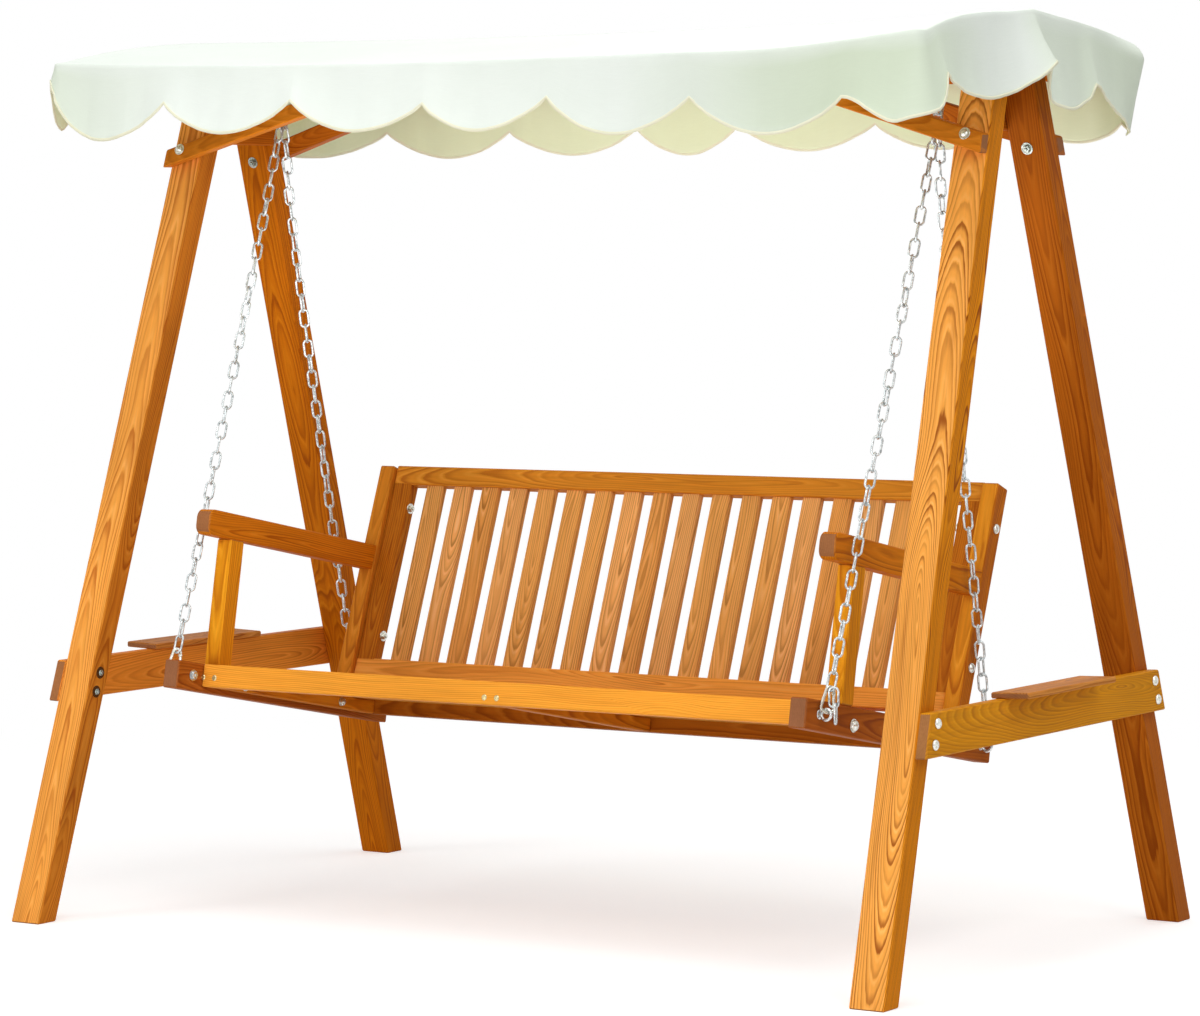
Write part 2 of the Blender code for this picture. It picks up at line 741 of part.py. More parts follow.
def chain_mesh(name, start, end):
    """A chain between two wire middles: open end links and, between, links as solid flats."""
    along = (end - start).normalized()
    across = Vector((1, 0, 0))
    beside = along.cross(across)
    reach = (end - start).length
    link_length = link_pitch + 2 * link_wire
    first = loop_mesh(name, start + along * link_length / 2, across, along, link_length,
                      link_width, link_wire)
    last = loop_mesh(name, end - along * link_length / 2, across, along, link_length,
                     link_width, link_wire)
    count = 2 * int((reach - 2 * link_pitch) // (2 * link_pitch)) + 1
    begin = link_length - link_wire
    pitch = (reach - 2 * begin) / count
    shape = bmesh.new()
    rings = []
    for number in range(count):
        wide, thin = link_face / 2, link_wire
        if number % 2 == 0:
            wide, thin = thin, wide
        near = begin + pitch * number + (link_wire if number else -link_wire)
        far = begin + pitch * (number + 1) + (link_wire if number == count - 1 else -link_wire)
        for place in (near, far):
            middle = start + along * place
            corners = ((-wide, -thin), (wide, -thin), (wide, thin), (-wide, thin))
            rings.append([shape.verts.new(middle + across * a + beside * b) for a, b in corners])
    for ring, after in zip(rings, rings[1:]):
        for k in range(4):
            shape.faces.new((ring[k], ring[(k + 1) % 4], after[(k + 1) % 4], after[k]))
    shape.faces.new(rings[0][::-1])
    shape.faces.new(rings[-1])
    bmesh.ops.recalc_face_normals(shape, faces=shape.faces)
    middle_mesh = bpy.data.meshes.new(name)
    shape.to_mesh(middle_mesh)
    shape.free()
    return middle_mesh, first, last


def build_chains():
    """Four chains, each with a spring hook at the foot that holds an eye bolt."""
    for end, y in EYES:
        for side, xs in SIDES:
            centre_x = xs * (bench_half_width + touch + washer_thick + eye_wire + eye_radius)
            top_of_eye = BENCH @ Vector((centre_x, y, eye_height + eye_radius))
            eye = Vector((xs * hook_x, 0, pivot_z))
            down = (top_of_eye - eye).normalized()
            up = -down
            hold = hook_eye_radius - hook_wire - link_wire - touch
            top = eye + down * hold
            snap_low = top_of_eye - up * (eye_wire + snap_wire + touch)
            beside = up.cross(Vector((1, 0, 0)))
            name = f"spring_hook_{end}_{side}"
            mesh = loop_mesh(name, snap_low + up * snap_length / 2, beside, up, snap_length,
                             snap_width, snap_wire)
            add_object(name, mesh, "zinc_steel").parent = swing_pivot
            bpy.data.objects[name].matrix_parent_inverse = swing_pivot.matrix_world.inverted()
            foot = snap_low + up * (snap_length - snap_wire - link_wire - touch)
            name = f"chain_{end}_{side}"
            middle, first, last = chain_mesh(name, top, foot)
            chain = add_object(name, middle, "zinc_steel")
            chain.parent = swing_pivot
            chain.matrix_parent_inverse = swing_pivot.matrix_world.inverted()
            boolean(chain, tool_object(f"{name}_top_link", first), "UNION")
            boolean(chain, tool_object(f"{name}_foot_link", last), "UNION")


build_legs()
build_beam()
build_side_boards()
build_braces()
build_ties()
build_brace_bolts()
build_canopy_frame()
build_cover()
build_top_hooks()
build_side_frames()
build_seat()
build_back()
build_chains()
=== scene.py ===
"""Looks of a garden canopy swing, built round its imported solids. Metres, +Z up, the front is -Y."""
import math

import bmesh
import bpy
import numpy as np
from mathutils import Matrix, Vector


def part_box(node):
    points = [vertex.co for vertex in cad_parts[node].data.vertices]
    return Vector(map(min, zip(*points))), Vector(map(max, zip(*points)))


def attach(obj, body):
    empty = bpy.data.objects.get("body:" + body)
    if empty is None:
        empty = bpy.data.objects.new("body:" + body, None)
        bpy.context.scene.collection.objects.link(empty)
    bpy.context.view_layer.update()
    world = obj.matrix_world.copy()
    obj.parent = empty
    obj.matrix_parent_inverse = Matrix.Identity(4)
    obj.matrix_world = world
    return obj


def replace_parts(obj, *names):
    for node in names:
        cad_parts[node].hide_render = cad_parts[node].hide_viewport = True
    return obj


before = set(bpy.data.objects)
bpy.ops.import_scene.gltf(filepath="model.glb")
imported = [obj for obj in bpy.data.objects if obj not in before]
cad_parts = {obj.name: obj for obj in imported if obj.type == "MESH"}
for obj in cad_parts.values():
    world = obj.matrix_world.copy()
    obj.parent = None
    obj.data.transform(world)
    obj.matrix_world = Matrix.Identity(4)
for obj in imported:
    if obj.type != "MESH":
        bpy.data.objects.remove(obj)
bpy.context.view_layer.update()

# Legs: four planed softwood posts, leaned together in pairs and cut level under the beam.
# Flat-sawn pine stained orange tan and oiled, so the rings show as long dark arches and loops.


class Wire:
    """One output of a node, or of a group's inputs. Arithmetic on it adds Math nodes."""

    def __init__(self, socket):
        self.socket = socket

    def math(self, operation, *terms):
        """One Math node on this value and the terms."""
        return node("Math", self, *terms, operation=operation)[0]

    def line(self, slope, start):
        """This value times a slope, plus a start."""
        return self.math("MULTIPLY_ADD", slope, start)

    def __add__(self, other):
        return self.math("ADD", other)

    def __sub__(self, other):
        return self.math("SUBTRACT", other)

    def __mul__(self, other):
        return self.math("MULTIPLY", other)

    def __truediv__(self, other):
        return self.math("DIVIDE", other)


def feed(value, slot):
    """Put a wire or a plain value into a socket, and nothing if there is none."""
    if isinstance(value, Wire):
        slot.id_data.links.new(value.socket, slot)
    elif value is not None:
        slot.default_value = value


def node(kind, *given, tree=None, **named):
    """A shader node. Its first inputs come in order, its settings and other inputs by name.

    An input's name opens with a capital. Returns the node's outputs as wires.
    """
    tree = tree or next(value.socket.id_data for value in (*given, *named.values())
                        if isinstance(value, Wire))
    made = tree.nodes.new("ShaderNode" + kind)
    for name, value in named.items():
        if name[0].isupper():
            feed(value, made.inputs[name.replace("_", " ")])
        else:
            setattr(made, name, value)
    for value, slot in zip(given, made.inputs):
        feed(value, slot)
    return [Wire(socket) for socket in made.outputs]


def new_group(name, given, made):
    """A node group with named sockets. Returns it, its inputs as wires and its output slots."""
    tree = bpy.data.node_groups.new(name, "ShaderNodeTree")
    for way, names in (("INPUT", given), ("OUTPUT", made)):
        for socket in names:
            kind = "Color" if socket in ("Color", "Early", "Late", "Bright", "Dull") else "Float"
            kind = "Vector" if socket == "Vector" else kind
            tree.interface.new_socket(name=socket, in_out=way, socket_type="NodeSocket" + kind)
    inner = tree.nodes.new("NodeGroupInput").outputs
    return tree, [Wire(inner[socket]) for socket in given], tree.nodes.new("NodeGroupOutput").inputs


def stretched(vector, scale):
    """A vector or colour times a scale along each of its axes."""
    return node("VectorMath", vector, scale, operation="MULTIPLY")[0]


def mottle(vector, scale, seed, detail=2.0, rough=0.5):
    """Soft noise on a stretched vector, shifted by a seed. Returns its value and its colour."""
    return node("TexNoise", stretched(vector, scale), seed, 1.0, detail, rough,
                noise_dimensions="4D")


def between(value, low, high, to_low=0.0, to_high=1.0, smooth=True):
    """Map a value from one range to another, held at the ends."""
    return node("MapRange", value, low, high, to_low, to_high,
                interpolation_type="SMOOTHSTEP" if smooth else "LINEAR")[0]


def mixed(factor, first, second, way="MIX"):
    """Two colours mixed by a factor."""
    return node("Mix", factor, *[None] * 5, first, second, data_type="RGBA", blend_type=way)[2]


def sawn_grain():
    """Grain of a sawn board, from its own coordinates with X along the grain.

    A growth ring is a cylinder round the pith, so its radius is the distance from a line that
    wanders and drifts through the board's depth. A knot pulls the rings round itself. A ring is
    palest where it starts in spring, dark and narrow where it ends, and End darkens sawn ends.
    """
    tree, given, made = new_group(
        "sawn_grain", ("Vector", "Seed", "Ring", "Pith across", "Pith depth", "Drift", "Knots",
                       "End", "Early", "Late"), ("Color", "Roughness", "Height"))
    spot, seed, ring, pith_across, pith_depth, drift, knots, end, early, late = given
    x, y, z = node("SeparateXYZ", spot)
    wander, rise, _ = node("SeparateXYZ", mottle(spot, (1.7, 1.2, 1.2), seed, 1.0)[1])
    depth = x.line(drift, pith_depth + rise.line(0.07, -0.035))
    off_y = y - (pith_across + wander.line(0.09, -0.045))
    off_z = z - depth
    radius = (off_y * off_y + off_z * off_z).math("SQRT")
    radius = mottle(spot, (14, 90, 90), seed)[0].line(0.0022, radius)
    distance, cell, *_ = node("TexVoronoi", stretched(spot, (2.6, 9.0, 0.0)), seed, 1.0,
                              voronoi_dimensions="4D")
    chosen = node("SeparateColor", cell)[0].math("LESS_THAN", knots)
    knot = between(distance, 0.42, 0.0) * chosen
    heart = between(distance, 0.15, 0.05) * chosen
    turns = knot.line(-0.022, radius) / ring
    phase = turns.math("FRACT")
    year = node("CombineXYZ", turns.math("FLOOR"), seed)[0]
    strength = node("TexWhiteNoise", year, noise_dimensions="2D")[0].line(0.7, 0.3)
    dark = between(phase, 0.46, 0.86) * between(phase, 1.0, 0.9) * strength
    spring = between(phase, 0.0, 0.10) * between(phase, 0.34, 0.12) * strength
    fibre = mottle(spot, (9, 230, 230), seed)[0]
    streak = mottle(spot, (3, 60, 60), seed, 2.0, 0.6)[0]
    patch = mottle(spot, (2.2, 7, 7), seed)[0]
    tone = mixed(dark * 0.9, early, late)
    tone = mixed(spring * 0.42, tone, stretched(early, (1.35, 1.7, 3.0)))
    tone = mixed(between(streak, 0.5, 0.75, 0.0, 0.35), tone, late)
    shade = (between(fibre, 0.3, 0.7, 0.92, 1.06, False)
             * between(patch, 0.3, 0.7, 0.88, 1.1, False) * heart.line(-0.6, 1.0))
    tone = mixed(end * 0.8, tone, (0.28, 0.125, 0.062, 1))
    feed(mixed(1.0, tone, shade, "MULTIPLY"), made["Color"])
    feed(fibre.line(0.22, dark.line(-0.08, 0.38)), made["Roughness"])
    feed(fibre.line(0.5, dark), made["Height"])
    return tree


def worn_edges():
    """A mask that is 1 along a board's long edges: how near both faces of the board are.

    In the board's own coordinates a point on its skin has one face at no distance, so the
    greater of the two distances from the faces is the distance from the edge.
    """
    tree, given, made = new_group(
        "worn_edges", ("Vector", "Half width", "Half thickness", "Reach", "Seed"), ("Mask",))
    spot, half_width, half_thickness, reach, seed = given
    _, y, z = node("SeparateXYZ", spot)
    side = half_width - y.math("ABSOLUTE")
    away = side.math("MAXIMUM", half_thickness - z.math("ABSOLUTE"))
    patchy = mottle(spot, (22, 60, 60), seed, 3.0)[0]
    feed(between(away, reach, 0.0) * between(patchy, 0.4, 0.62), made["Mask"])
    return tree


GRAIN = sawn_grain()
EDGES = worn_edges()


def new_material(name):
    """A material with nodes. Returns it, its tree and its shader's inputs."""
    made = bpy.data.materials.new(name)
    made.use_nodes = True
    return made, made.node_tree, made.node_tree.nodes["Principled BSDF"].inputs


def dress(shader, colour, rough, height, strength, distance):
    """Feed a shader's colour and roughness, and bump its normal by a height."""
    feed(colour, shader["Base Color"])
    feed(rough, shader["Roughness"])
    feed(node("Bump", Strength=strength, Distance=distance, Height=height)[0], shader["Normal"])


def stained_wood(name, where, half, seed, early, late, ring=0.0048, across=0.0, depth=-0.022,
                 drift=0.03, knots=0.25, along=None, flank=None):
    """Stained wood. where is (middle, turn) of the board in object space, or an attribute.

    The tint for the faces towards +X is painted shade, on the side away from the light.
    """
    material, tree, shader = new_material(name)
    if isinstance(where, str):
        spot = node("Attribute", tree=tree, attribute_name=where)[1]
        seed = node("Attribute", tree=tree, attribute_name="board")[2]
    else:
        _, normal, _, here, *_ = node("TexCoord", tree=tree)
        spot = node("Mapping", here, *where, vector_type="TEXTURE")[0]
    sawn_end = 0.0
    if along is not None:
        facing = node("VectorMath", normal, Vector(along).normalized(), operation="DOT_PRODUCT")
        sawn_end = between(facing[1].math("ABSOLUTE"), 0.62, 0.8)
    colour, rough, height = node(
        "Group", node_tree=GRAIN, Vector=spot, Seed=seed, Ring=ring, Pith_across=across,
        Pith_depth=depth, Drift=drift, Knots=knots, End=sawn_end, Early=(*early, 1),
        Late=(*late, 1))
    wear_and_shade = node("Group", node_tree=EDGES, Vector=spot, Half_width=half[0], Half_thickness=half[1],
                Reach=0.004, Seed=seed)[0]
    pale = tuple(min(1.0, 1.25 * c) for c in early)
    colour = mixed(wear_and_shade * 0.45, colour, (*pale, 1))
    # Painted shade: faces towards +X take a darker tint.
    if flank:
        to_right = between(node("SeparateXYZ", normal)[0], 0.4, 0.8)
        colour = mixed(to_right, colour, mixed(1.0, colour, (*flank, 1), "MULTIPLY"))
    shader["Specular IOR Level"].default_value = 0.03
    dress(shader, colour, rough, height, 0.35, 0.0004)
    return material


def board_turn(along, face):
    """The turn whose X runs along a board and whose Z comes out of its broad face."""
    x = Vector(along).normalized()
    z = Vector(face)
    z = (z - x * z.dot(x)).normalized()
    return Matrix((x, z.cross(x), z)).transposed().to_euler()


def stain(board, along, face, half, seed, tones, **values):
    """Give a solid board of the frame its own stained wood. tones are early and late wood."""
    low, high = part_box(board)
    where = ((low + high) / 2, board_turn(along, face))
    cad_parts[board].data.materials[0] = stained_wood(
        f"wood_{board}", where, half, seed, *tones, along=along, **values)


LEAN = 0.3166
SPLAY = 0.03265
SIDES = (("left", -1), ("right", 1))
ENDS = (("front", -1), ("rear", 1))
CORNERS = [(f"{end}_{side}", end, xs, ys) for end, ys in ENDS for side, xs in SIDES]
ruddy = ((0.48, 0.122, 0.006), (0.27, 0.052, 0.002))
# Each leg's tones, ring width, pith depth, drift, knots and the tint of painted shade on its right
# side.
leg_looks = {
    "front_left": (((0.90, 0.365, 0.062), (0.47, 0.110, 0.013)),
                   0.0038, -0.014, -0.034, 0.16, (0.66, 0.52, 0.25)),
    "front_right": (((0.94, 0.392, 0.070), (0.31, 0.066, 0.008)),
                    0.0034, 0.004, -0.070, 0.12, (0.80, 0.62, 0.07)),
    "rear_left": (((0.62, 0.168, 0.004), (0.35, 0.070, 0.002)),
                  0.0038, -0.014, -0.034, 0.45, None),
    "rear_right": (ruddy, 0.0038, -0.014, 0.034, 0.80, None)}
for corner, end, xs, ys in CORNERS:
    tones, ring, depth, drift, knots, flank = leg_looks[corner]
    stain(f"leg_{corner}", (-xs * SPLAY, -ys * LEAN, 1), (0, -1, -0.3), (0.0375, 0.0285),
          3.1 + 2.7 * xs + 5.3 * ys, tones, ring=ring, across=-0.006, depth=depth, drift=drift,
          knots=knots, flank=flank)

# Beam and tie boards: a planed plank on top of the four legs, and a short board that ties each
# pair of legs together under it. The same wood, darker because it is always in the shade.
stain("top_beam", (1, 0, 0), (0, 0, 1), (0.09, 0.0225), 11.4, ruddy, depth=-0.05)
for side, xs in SIDES:
    stain(f"apex_tie_{side}", (0, 1, 0), (xs, 0, 0), (0.076, 0.009), 17.2 + xs, ruddy)

# Side boards: a stretcher across each pair of legs on the outside, with its ends cut flush, and
# a thin drink shelf on its top edge. Yellower boards, held with two coach bolts at each leg.
stretcher_tones = {"left": ((0.88, 0.290, 0.030), (0.56, 0.145, 0.012)),
                   "right": ((0.68, 0.265, 0.008), (0.47, 0.150, 0.004))}
for side, xs in SIDES:
    stain(f"stretcher_{side}", (0, 1, 0), (xs, 0, SPLAY), (0.042, 0.0125), 23.7 + 4 * xs,
          stretcher_tones[side], ring=0.0043, across=0.012, depth=-0.020, drift=0.08, knots=0.6)
    stain(f"shelf_{side}", (0, 1, 0), (0, 0, 1), (0.041, 0.006), 31.3 + 6 * xs,
          ((0.64, 0.24, 0.04), (0.32, 0.085, 0.010)), ring=0.0045)

# Knee braces: a square batten on the outward faces of each leg, bolted at its foot and rising
# under the canopy to the beam. The front ones are a yellower cut.
RISE = math.tan(math.radians(16.6))
brace_tones = {"front": ((0.66, 0.205, 0.014), (0.46, 0.118, 0.006)), "rear": ruddy}
for corner, end, xs, ys in CORNERS:
    stain(f"brace_{corner}", (-xs, 0, RISE), (0, ys, 0.3), (0.019, 0.015),
          41.0 + 3 * xs + 7 * ys, brace_tones[end], ring=0.0045)

# Canopy frame: sawn arms over the beam's ends, rails under the eaves and a lath under the ridge.
# Rougher wood with the same stain, hidden under the cloth.
for side, xs in SIDES:
    stain(f"canopy_arm_{side}", (0, 1, 0), (xs, 0, 0), (0.03, 0.015), 51.5 + xs, ruddy)
for end, ys in ENDS:
    stain(f"eave_rail_{end}", (1, 0, 0), (0, ys, 0), (0.012, 0.015), 57.5 + ys, ruddy)
stain("ridge_lath", (1, 0, 0), (0, 0, 1), (0.015, 0.015), 61.0, ruddy)

# Bench side frames: side rail, rear stile, arm post and armrest, screwed together from inside.
# The bench tips back, so its boards are described in its own frame, turned about X.
TILT = math.radians(10.9)
BENCH_AT = np.array([0.0, -0.4735, 0.4915])
BACK = np.array([0.0, math.cos(TILT), -math.sin(TILT)])
UP = np.array([0.0, math.sin(TILT), math.cos(TILT)])
HALF_BENCH = 0.775
RAIL_THICK = 0.037
STILE_LEAN = math.radians(10.24)
LEAN_BACK = math.tan(STILE_LEAN)
STILE_UP = UP + LEAN_BACK * BACK
amber = ((0.84, 0.320, 0.012), (0.54, 0.145, 0.005))
russet = ((0.68, 0.205, 0.008), (0.40, 0.090, 0.003))
# Each stile's tones and the tint of painted shade on its right side.
stile_looks = {"left": (((0.72, 0.250, 0.020), (0.44, 0.115, 0.008)), None),
               "right": (((0.78, 0.290, 0.018), (0.48, 0.125, 0.006)), (0.76, 0.58, 0.50))}
for side, xs in SIDES:
    stain(f"side_rail_{side}", BACK, (xs, 0, 0), (0.0295, 0.0185), 67.1 + xs,
          ((0.42, 0.105, 0.010), (0.25, 0.050, 0.005)), depth=-0.030)
    tones, flank = stile_looks[side]
    stain(f"back_stile_{side}", STILE_UP, (0, -1, 0), (0.0185, 0.022), 71.9 + 3 * xs, tones,
          ring=0.0045, flank=flank)
    stain(f"arm_post_{side}", UP, -BACK, (0.0185, 0.023), 77.7 + xs, amber, ring=0.0045)
    stain(f"armrest_{side}", BACK, (xs, 0, 0), (0.027, 0.0185), 83.3 + 5 * xs, russet,
          ring=0.0045)

# Seat: a front and a rear rail between the side frames, three bearers and six slats on them.
# The front rail takes the sun and is the brightest board.
stain("seat_front_rail", (1, 0, 0), -BACK, (0.0235, 0.0185), 91.7,
      ((0.94, 0.365, 0.036), (0.70, 0.22, 0.016)), ring=0.0036, across=-0.09, depth=-0.030,
      drift=0.0, knots=0.1)
# The rear rail's darker tones are painted shade, for its place under the seat slats.
stain("seat_rear_rail", (1, 0, 0), -BACK, (0.0235, 0.0185), 93.1,
      ((0.42, 0.110, 0.006), (0.24, 0.050, 0.003)))
for place in ("left", "middle", "right"):
    stain(f"seat_bearer_{place}", BACK, (1, 0, 0), (0.015, 0.0185), 95.0 + len(place), russet)
for number in range(1, 7):
    stain(f"seat_slat_{number}", (1, 0, 0), UP, (0.0325, 0.009), 101.0 + 3.7 * number,
          ((0.72, 0.26, 0.020), (0.42, 0.11, 0.006)), ring=0.0050, depth=-0.020 - 0.002 * number)

# Back panel: a top and a bottom rail, two end stiles and eighteen upright slats let into them.
# Each board is cut from another plank, so each has its own tone, rings and knots.


def quads(rows, columns, loop_rows=False, loop_columns=False):
    """Faces between neighbouring points of a grid, as point numbers."""
    spot = np.arange(rows * columns).reshape(rows, columns)
    if loop_rows:
        spot = np.vstack([spot, spot[:1]])
    if loop_columns:
        spot = np.hstack([spot, spot[:, :1]])
    corners = (spot[:-1, :-1], spot[:-1, 1:], spot[1:, 1:], spot[1:, :-1])
    return np.stack(corners, -1).reshape(-1, 4)


def welded(mesh):
    """Join a mesh's double points, turn its faces outwards and shade it smooth."""
    shape = bmesh.new()
    shape.from_mesh(mesh)
    bmesh.ops.remove_doubles(shape, verts=shape.verts, dist=1e-6)
    bmesh.ops.recalc_face_normals(shape, faces=shape.faces)
    shape.to_mesh(mesh)
    shape.free()
    mesh.polygons.foreach_set("use_smooth", np.ones(len(mesh.polygons), bool))


def placed(name, data):
    """A new object in the scene."""
    made = bpy.data.objects.new(name, data)
    bpy.context.scene.collection.objects.link(made)
    return made


def piece(name, patches, body, material, sharp=35):
    """One closed object from grids of points, each as (points, loop rows, loop columns)."""
    spots, faces, first = [], [], 0
    for points, loop_rows, loop_columns in patches:
        rows, columns = points.shape[:2]
        spots.append(points.reshape(-1, 3))
        faces.append(quads(rows, columns, loop_rows, loop_columns) + first)
        first += rows * columns
    mesh = bpy.data.meshes.new(name)
    mesh.from_pydata(np.concatenate(spots).tolist(), [], np.concatenate(faces).tolist())
    welded(mesh)
    mesh.set_sharp_from_angle(angle=math.radians(sharp))
    mesh.materials.append(material)
    made = placed(name, mesh)
    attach(made, body)
    return made


def unit(vectors):
    """Vectors made one long."""
    return vectors / np.linalg.norm(vectors, axis=-1, keepdims=True)


def board_grid(start, end, wide, deep, width, thick, soft=0.0025):
    """A board with rounded edges: a rectangle with cut corners, carried from start to end.

    The rectangle shrinks by the rounding at both ends, and then to a point, which closes it.
    """
    long = np.linalg.norm(end - start)
    a, b = width / 2, thick / 2
    corner = np.array([(-a + soft, -b), (a - soft, -b), (a, -b + soft), (a, b - soft),
                       (a - soft, b), (-a + soft, b), (-a, b - soft), (-a, -b + soft)])
    inset = np.sign(corner) * np.minimum(np.abs(corner), (a - soft, b - soft))
    way = np.array([0, 0, soft, long - soft, long, long])[:, None, None]
    shape = np.stack([corner * 0, inset, corner, corner, inset, corner * 0])
    return start + unit(end - start) * way + shape[..., :1] * wide + shape[..., 1:] * deep


def points_of(mesh):
    """The places of a mesh's points."""
    spots = np.empty(len(mesh.vertices) * 3)
    mesh.vertices.foreach_get("co", spots)
    return spots.reshape(-1, 3)


def boards(name, list_of, material):
    """Several boards of the bench as one object, each with its own grain coordinates and seed."""
    made = piece(name, [(board_grid(*board[:-1]), False, True) for board in list_of], "swing",
                 material, 25)
    spots = points_of(made.data)
    grain, seeds = np.zeros_like(spots), np.zeros(len(spots))
    nearest = np.full(len(spots), np.inf)
    for start, end, wide, deep, width, thick, seed in list_of:
        long = np.linalg.norm(end - start)
        ways = np.stack([unit(end - start), wide, deep], 1)
        local = (spots - (start + end) / 2) @ ways
        outside = np.max(np.abs(local) - np.array([long, width, thick]) / 2, axis=1)
        closer = outside < nearest - 1e-7
        grain[closer], seeds[closer] = local[closer], seed
        nearest = np.minimum(nearest, outside)
    layers = made.data.attributes
    layers.new("grain", "FLOAT_VECTOR", "POINT").data.foreach_set("vector", grain.ravel())
    layers.new("board", "FLOAT", "POINT").data.foreach_set("value", seeds)
    return made


def board_wood(name, half, early, late, **values):
    """Stained wood of loose boards, which carry their grain coordinates themselves."""
    return stained_wood(f"wood_{name}", "grain", half, 0.0, early, late, **values)


def on_bench(x, y, z):
    """A point of the bench's own frame, in the world."""
    return BENCH_AT + np.array([x, 0, 0]) + BACK * y + UP * z


def in_panel(x, z):
    """A point in the middle plane of the leaning back panel."""
    return on_bench(x, panel_mid + LEAN_BACK * z, z)


ALONG = np.array([1.0, 0, 0])
STILE_WAY = unit(STILE_UP)
FACE = np.cross(STILE_WAY, ALONG)
GAP = 0.0003
half_panel = HALF_BENCH - RAIL_THICK - GAP
panel_mid = 0.585 + 0.012 + 0.015
panel_low, rail_high, panel_top = 0.086, 0.043, 0.567
panel_thick = 0.030 * math.cos(STILE_LEAN)
low_rail, top_rail = (
    (in_panel(-half_panel, z), in_panel(half_panel, z), STILE_WAY, FACE, rail_high, panel_thick,
     seed) for z, seed in ((panel_low + rail_high / 2, 3.3), (panel_top - rail_high / 2, 8.1)))
rail_wood = board_wood("back_rails", (0.0215, 0.0148), (0.72, 0.265, 0.022), (0.44, 0.120, 0.009),
                       depth=-0.020, drift=0.05, knots=0.3)
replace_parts(boards("back_top_rail", [top_rail], rail_wood), "back_panel")
low_rail_wood = board_wood("back_low_rail", (0.0215, 0.0148), (0.96, 0.385, 0.060),
                           (0.62, 0.19, 0.022), depth=-0.020, knots=0.2)
boards("back_low_rail", [low_rail], low_rail_wood)
low, high = panel_low + rail_high - 0.012, panel_top - rail_high + 0.012
end_x = half_panel - 0.024
ends = [(in_panel(x, low), in_panel(x, high), ALONG, FACE, 0.048, panel_thick - 0.0012, 15.7 + x)
        for x in (-end_x, end_x)]
end_wood = board_wood("back_ends", (0.024, 0.0142), (0.54, 0.165, 0.010), (0.32, 0.07, 0.004),
                      drift=0.05, knots=0.3)
boards("back_end_stiles", ends, end_wood)
SLAT_STEP = 0.0741
slat_x = (np.arange(18) - 8.5) * SLAT_STEP
for tone, early in enumerate(((0.87, 0.400, 0.098), (0.92, 0.435, 0.128), (0.83, 0.360, 0.084))):
    slats = [(in_panel(x, low), in_panel(x, high), ALONG, FACE, 0.044, 0.018, 20.3 + 7.9 * n)
             for n, x in enumerate(slat_x) if (n * n + n // 2) % 3 == tone]
    slat_wood = board_wood(f"back_slats_{tone + 1}", (0.022, 0.009), early,
                           tuple(0.5 * c * c ** 0.15 for c in early), ring=0.0046, drift=0.04,
                           knots=0.42)
    boards(f"back_slats_{tone + 1}", slats, slat_wood)

# Bolts, nuts and screws: pressed and turned steel with a thin zinc plating. Coach bolts hold the
# stand, hexagon nuts sit on washers or down in counterbores on the inner sides; each counterbore is
# a dark disc of painted shade round its nut.


def zinc_plating():
    """Zinc on steel: a pale grey with faint blue and yellow clouds, dull spots and scratches."""
    tree, (spot, scale, bright, dull), made = new_group(
        "zinc_plating", ("Vector", "Scale", "Bright", "Dull"), ("Color", "Roughness", "Height"))
    sized = node("VectorMath", spot, operation="SCALE", Scale=scale)[0]
    clouds = mottle(sized, (1, 1, 1), 1.7, 3.0, 0.6)[0]
    fine = mottle(sized, (7, 7, 3), 4.1, 2.0, 0.7)[0]
    spots = between(clouds, 0.42, 0.66)
    feed(mixed(spots, bright, dull), made["Color"])
    feed(spots.line(0.16, fine.line(0.2, 0.16)), made["Roughness"])
    feed(fine, made["Height"])
    return tree


PLATING = zinc_plating()


def plated(name, bright=(0.80, 0.81, 0.77), dull=(0.50, 0.49, 0.40), scale=260.0, metal=1.0):
    """Zinc plated steel, less like a mirror where its white rust is thicker."""
    material, tree, shader = new_material(name)
    look = node("Group", node_tree=PLATING, Vector=node("TexCoord", tree=tree)[3], Scale=scale,
                Bright=(*bright, 1), Dull=(*dull, 1))
    shader["Metallic"].default_value = metal
    dress(shader, *look, 0.15, 0.0002)
    return material


bolt_steel = plated("steel_bolts")
nut_steel = plated("steel_nuts", (0.46, 0.50, 0.46), (0.20, 0.23, 0.19))


def circle_of(sides):
    """Angles round a circle, at even steps."""
    return np.linspace(0, 2 * np.pi, sides, endpoint=False)


def turned(outline, at, axis, sides=20):
    """A surface of revolution: each (radius, height) of the outline goes round the axis."""
    outline = np.asarray(outline, float)
    axis = unit(axis)
    other = unit(np.cross(axis, (0.0, 0.0, 1.0) if abs(axis[2]) < 0.9 else (1.0, 0, 0)))
    third = np.cross(axis, other)
    angle = circle_of(sides)[:, None]
    ring = np.cos(angle) * other + np.sin(angle) * third
    points = at + outline[:, 1, None, None] * axis + outline[:, 0, None, None] * ring
    return points, False, True


def rod(radius, low, high, at, axis, sides):
    """A plain round rod or disc between two heights on the axis."""
    return turned([(0, low), (radius, low), (radius, high), (0, high)], at, axis, sides)


def coach_head(at, axis, radius, height, washer=0.0):
    """A mushroom head, with a washer under it if the bolt has one."""
    base = 0.0016 if washer else 0.0
    rise = np.linspace(0, np.pi / 2, 7)
    dome = np.stack([radius * np.cos(rise), base + 0.0008 + height * np.sin(rise)], 1)
    outline = np.vstack([[(0, base), (radius, base)], dome])
    outline[-1, 0] = 0.0
    found = [turned(outline, at, axis)]
    if washer:
        flat = [(0, 0), (washer - 0.0004, 0), (washer, 0.0004), (washer, 0.0012),
                (washer - 0.0004, 0.0016), (0, 0.0016)]
        found.append(turned(flat, at, axis, 28))
    return found


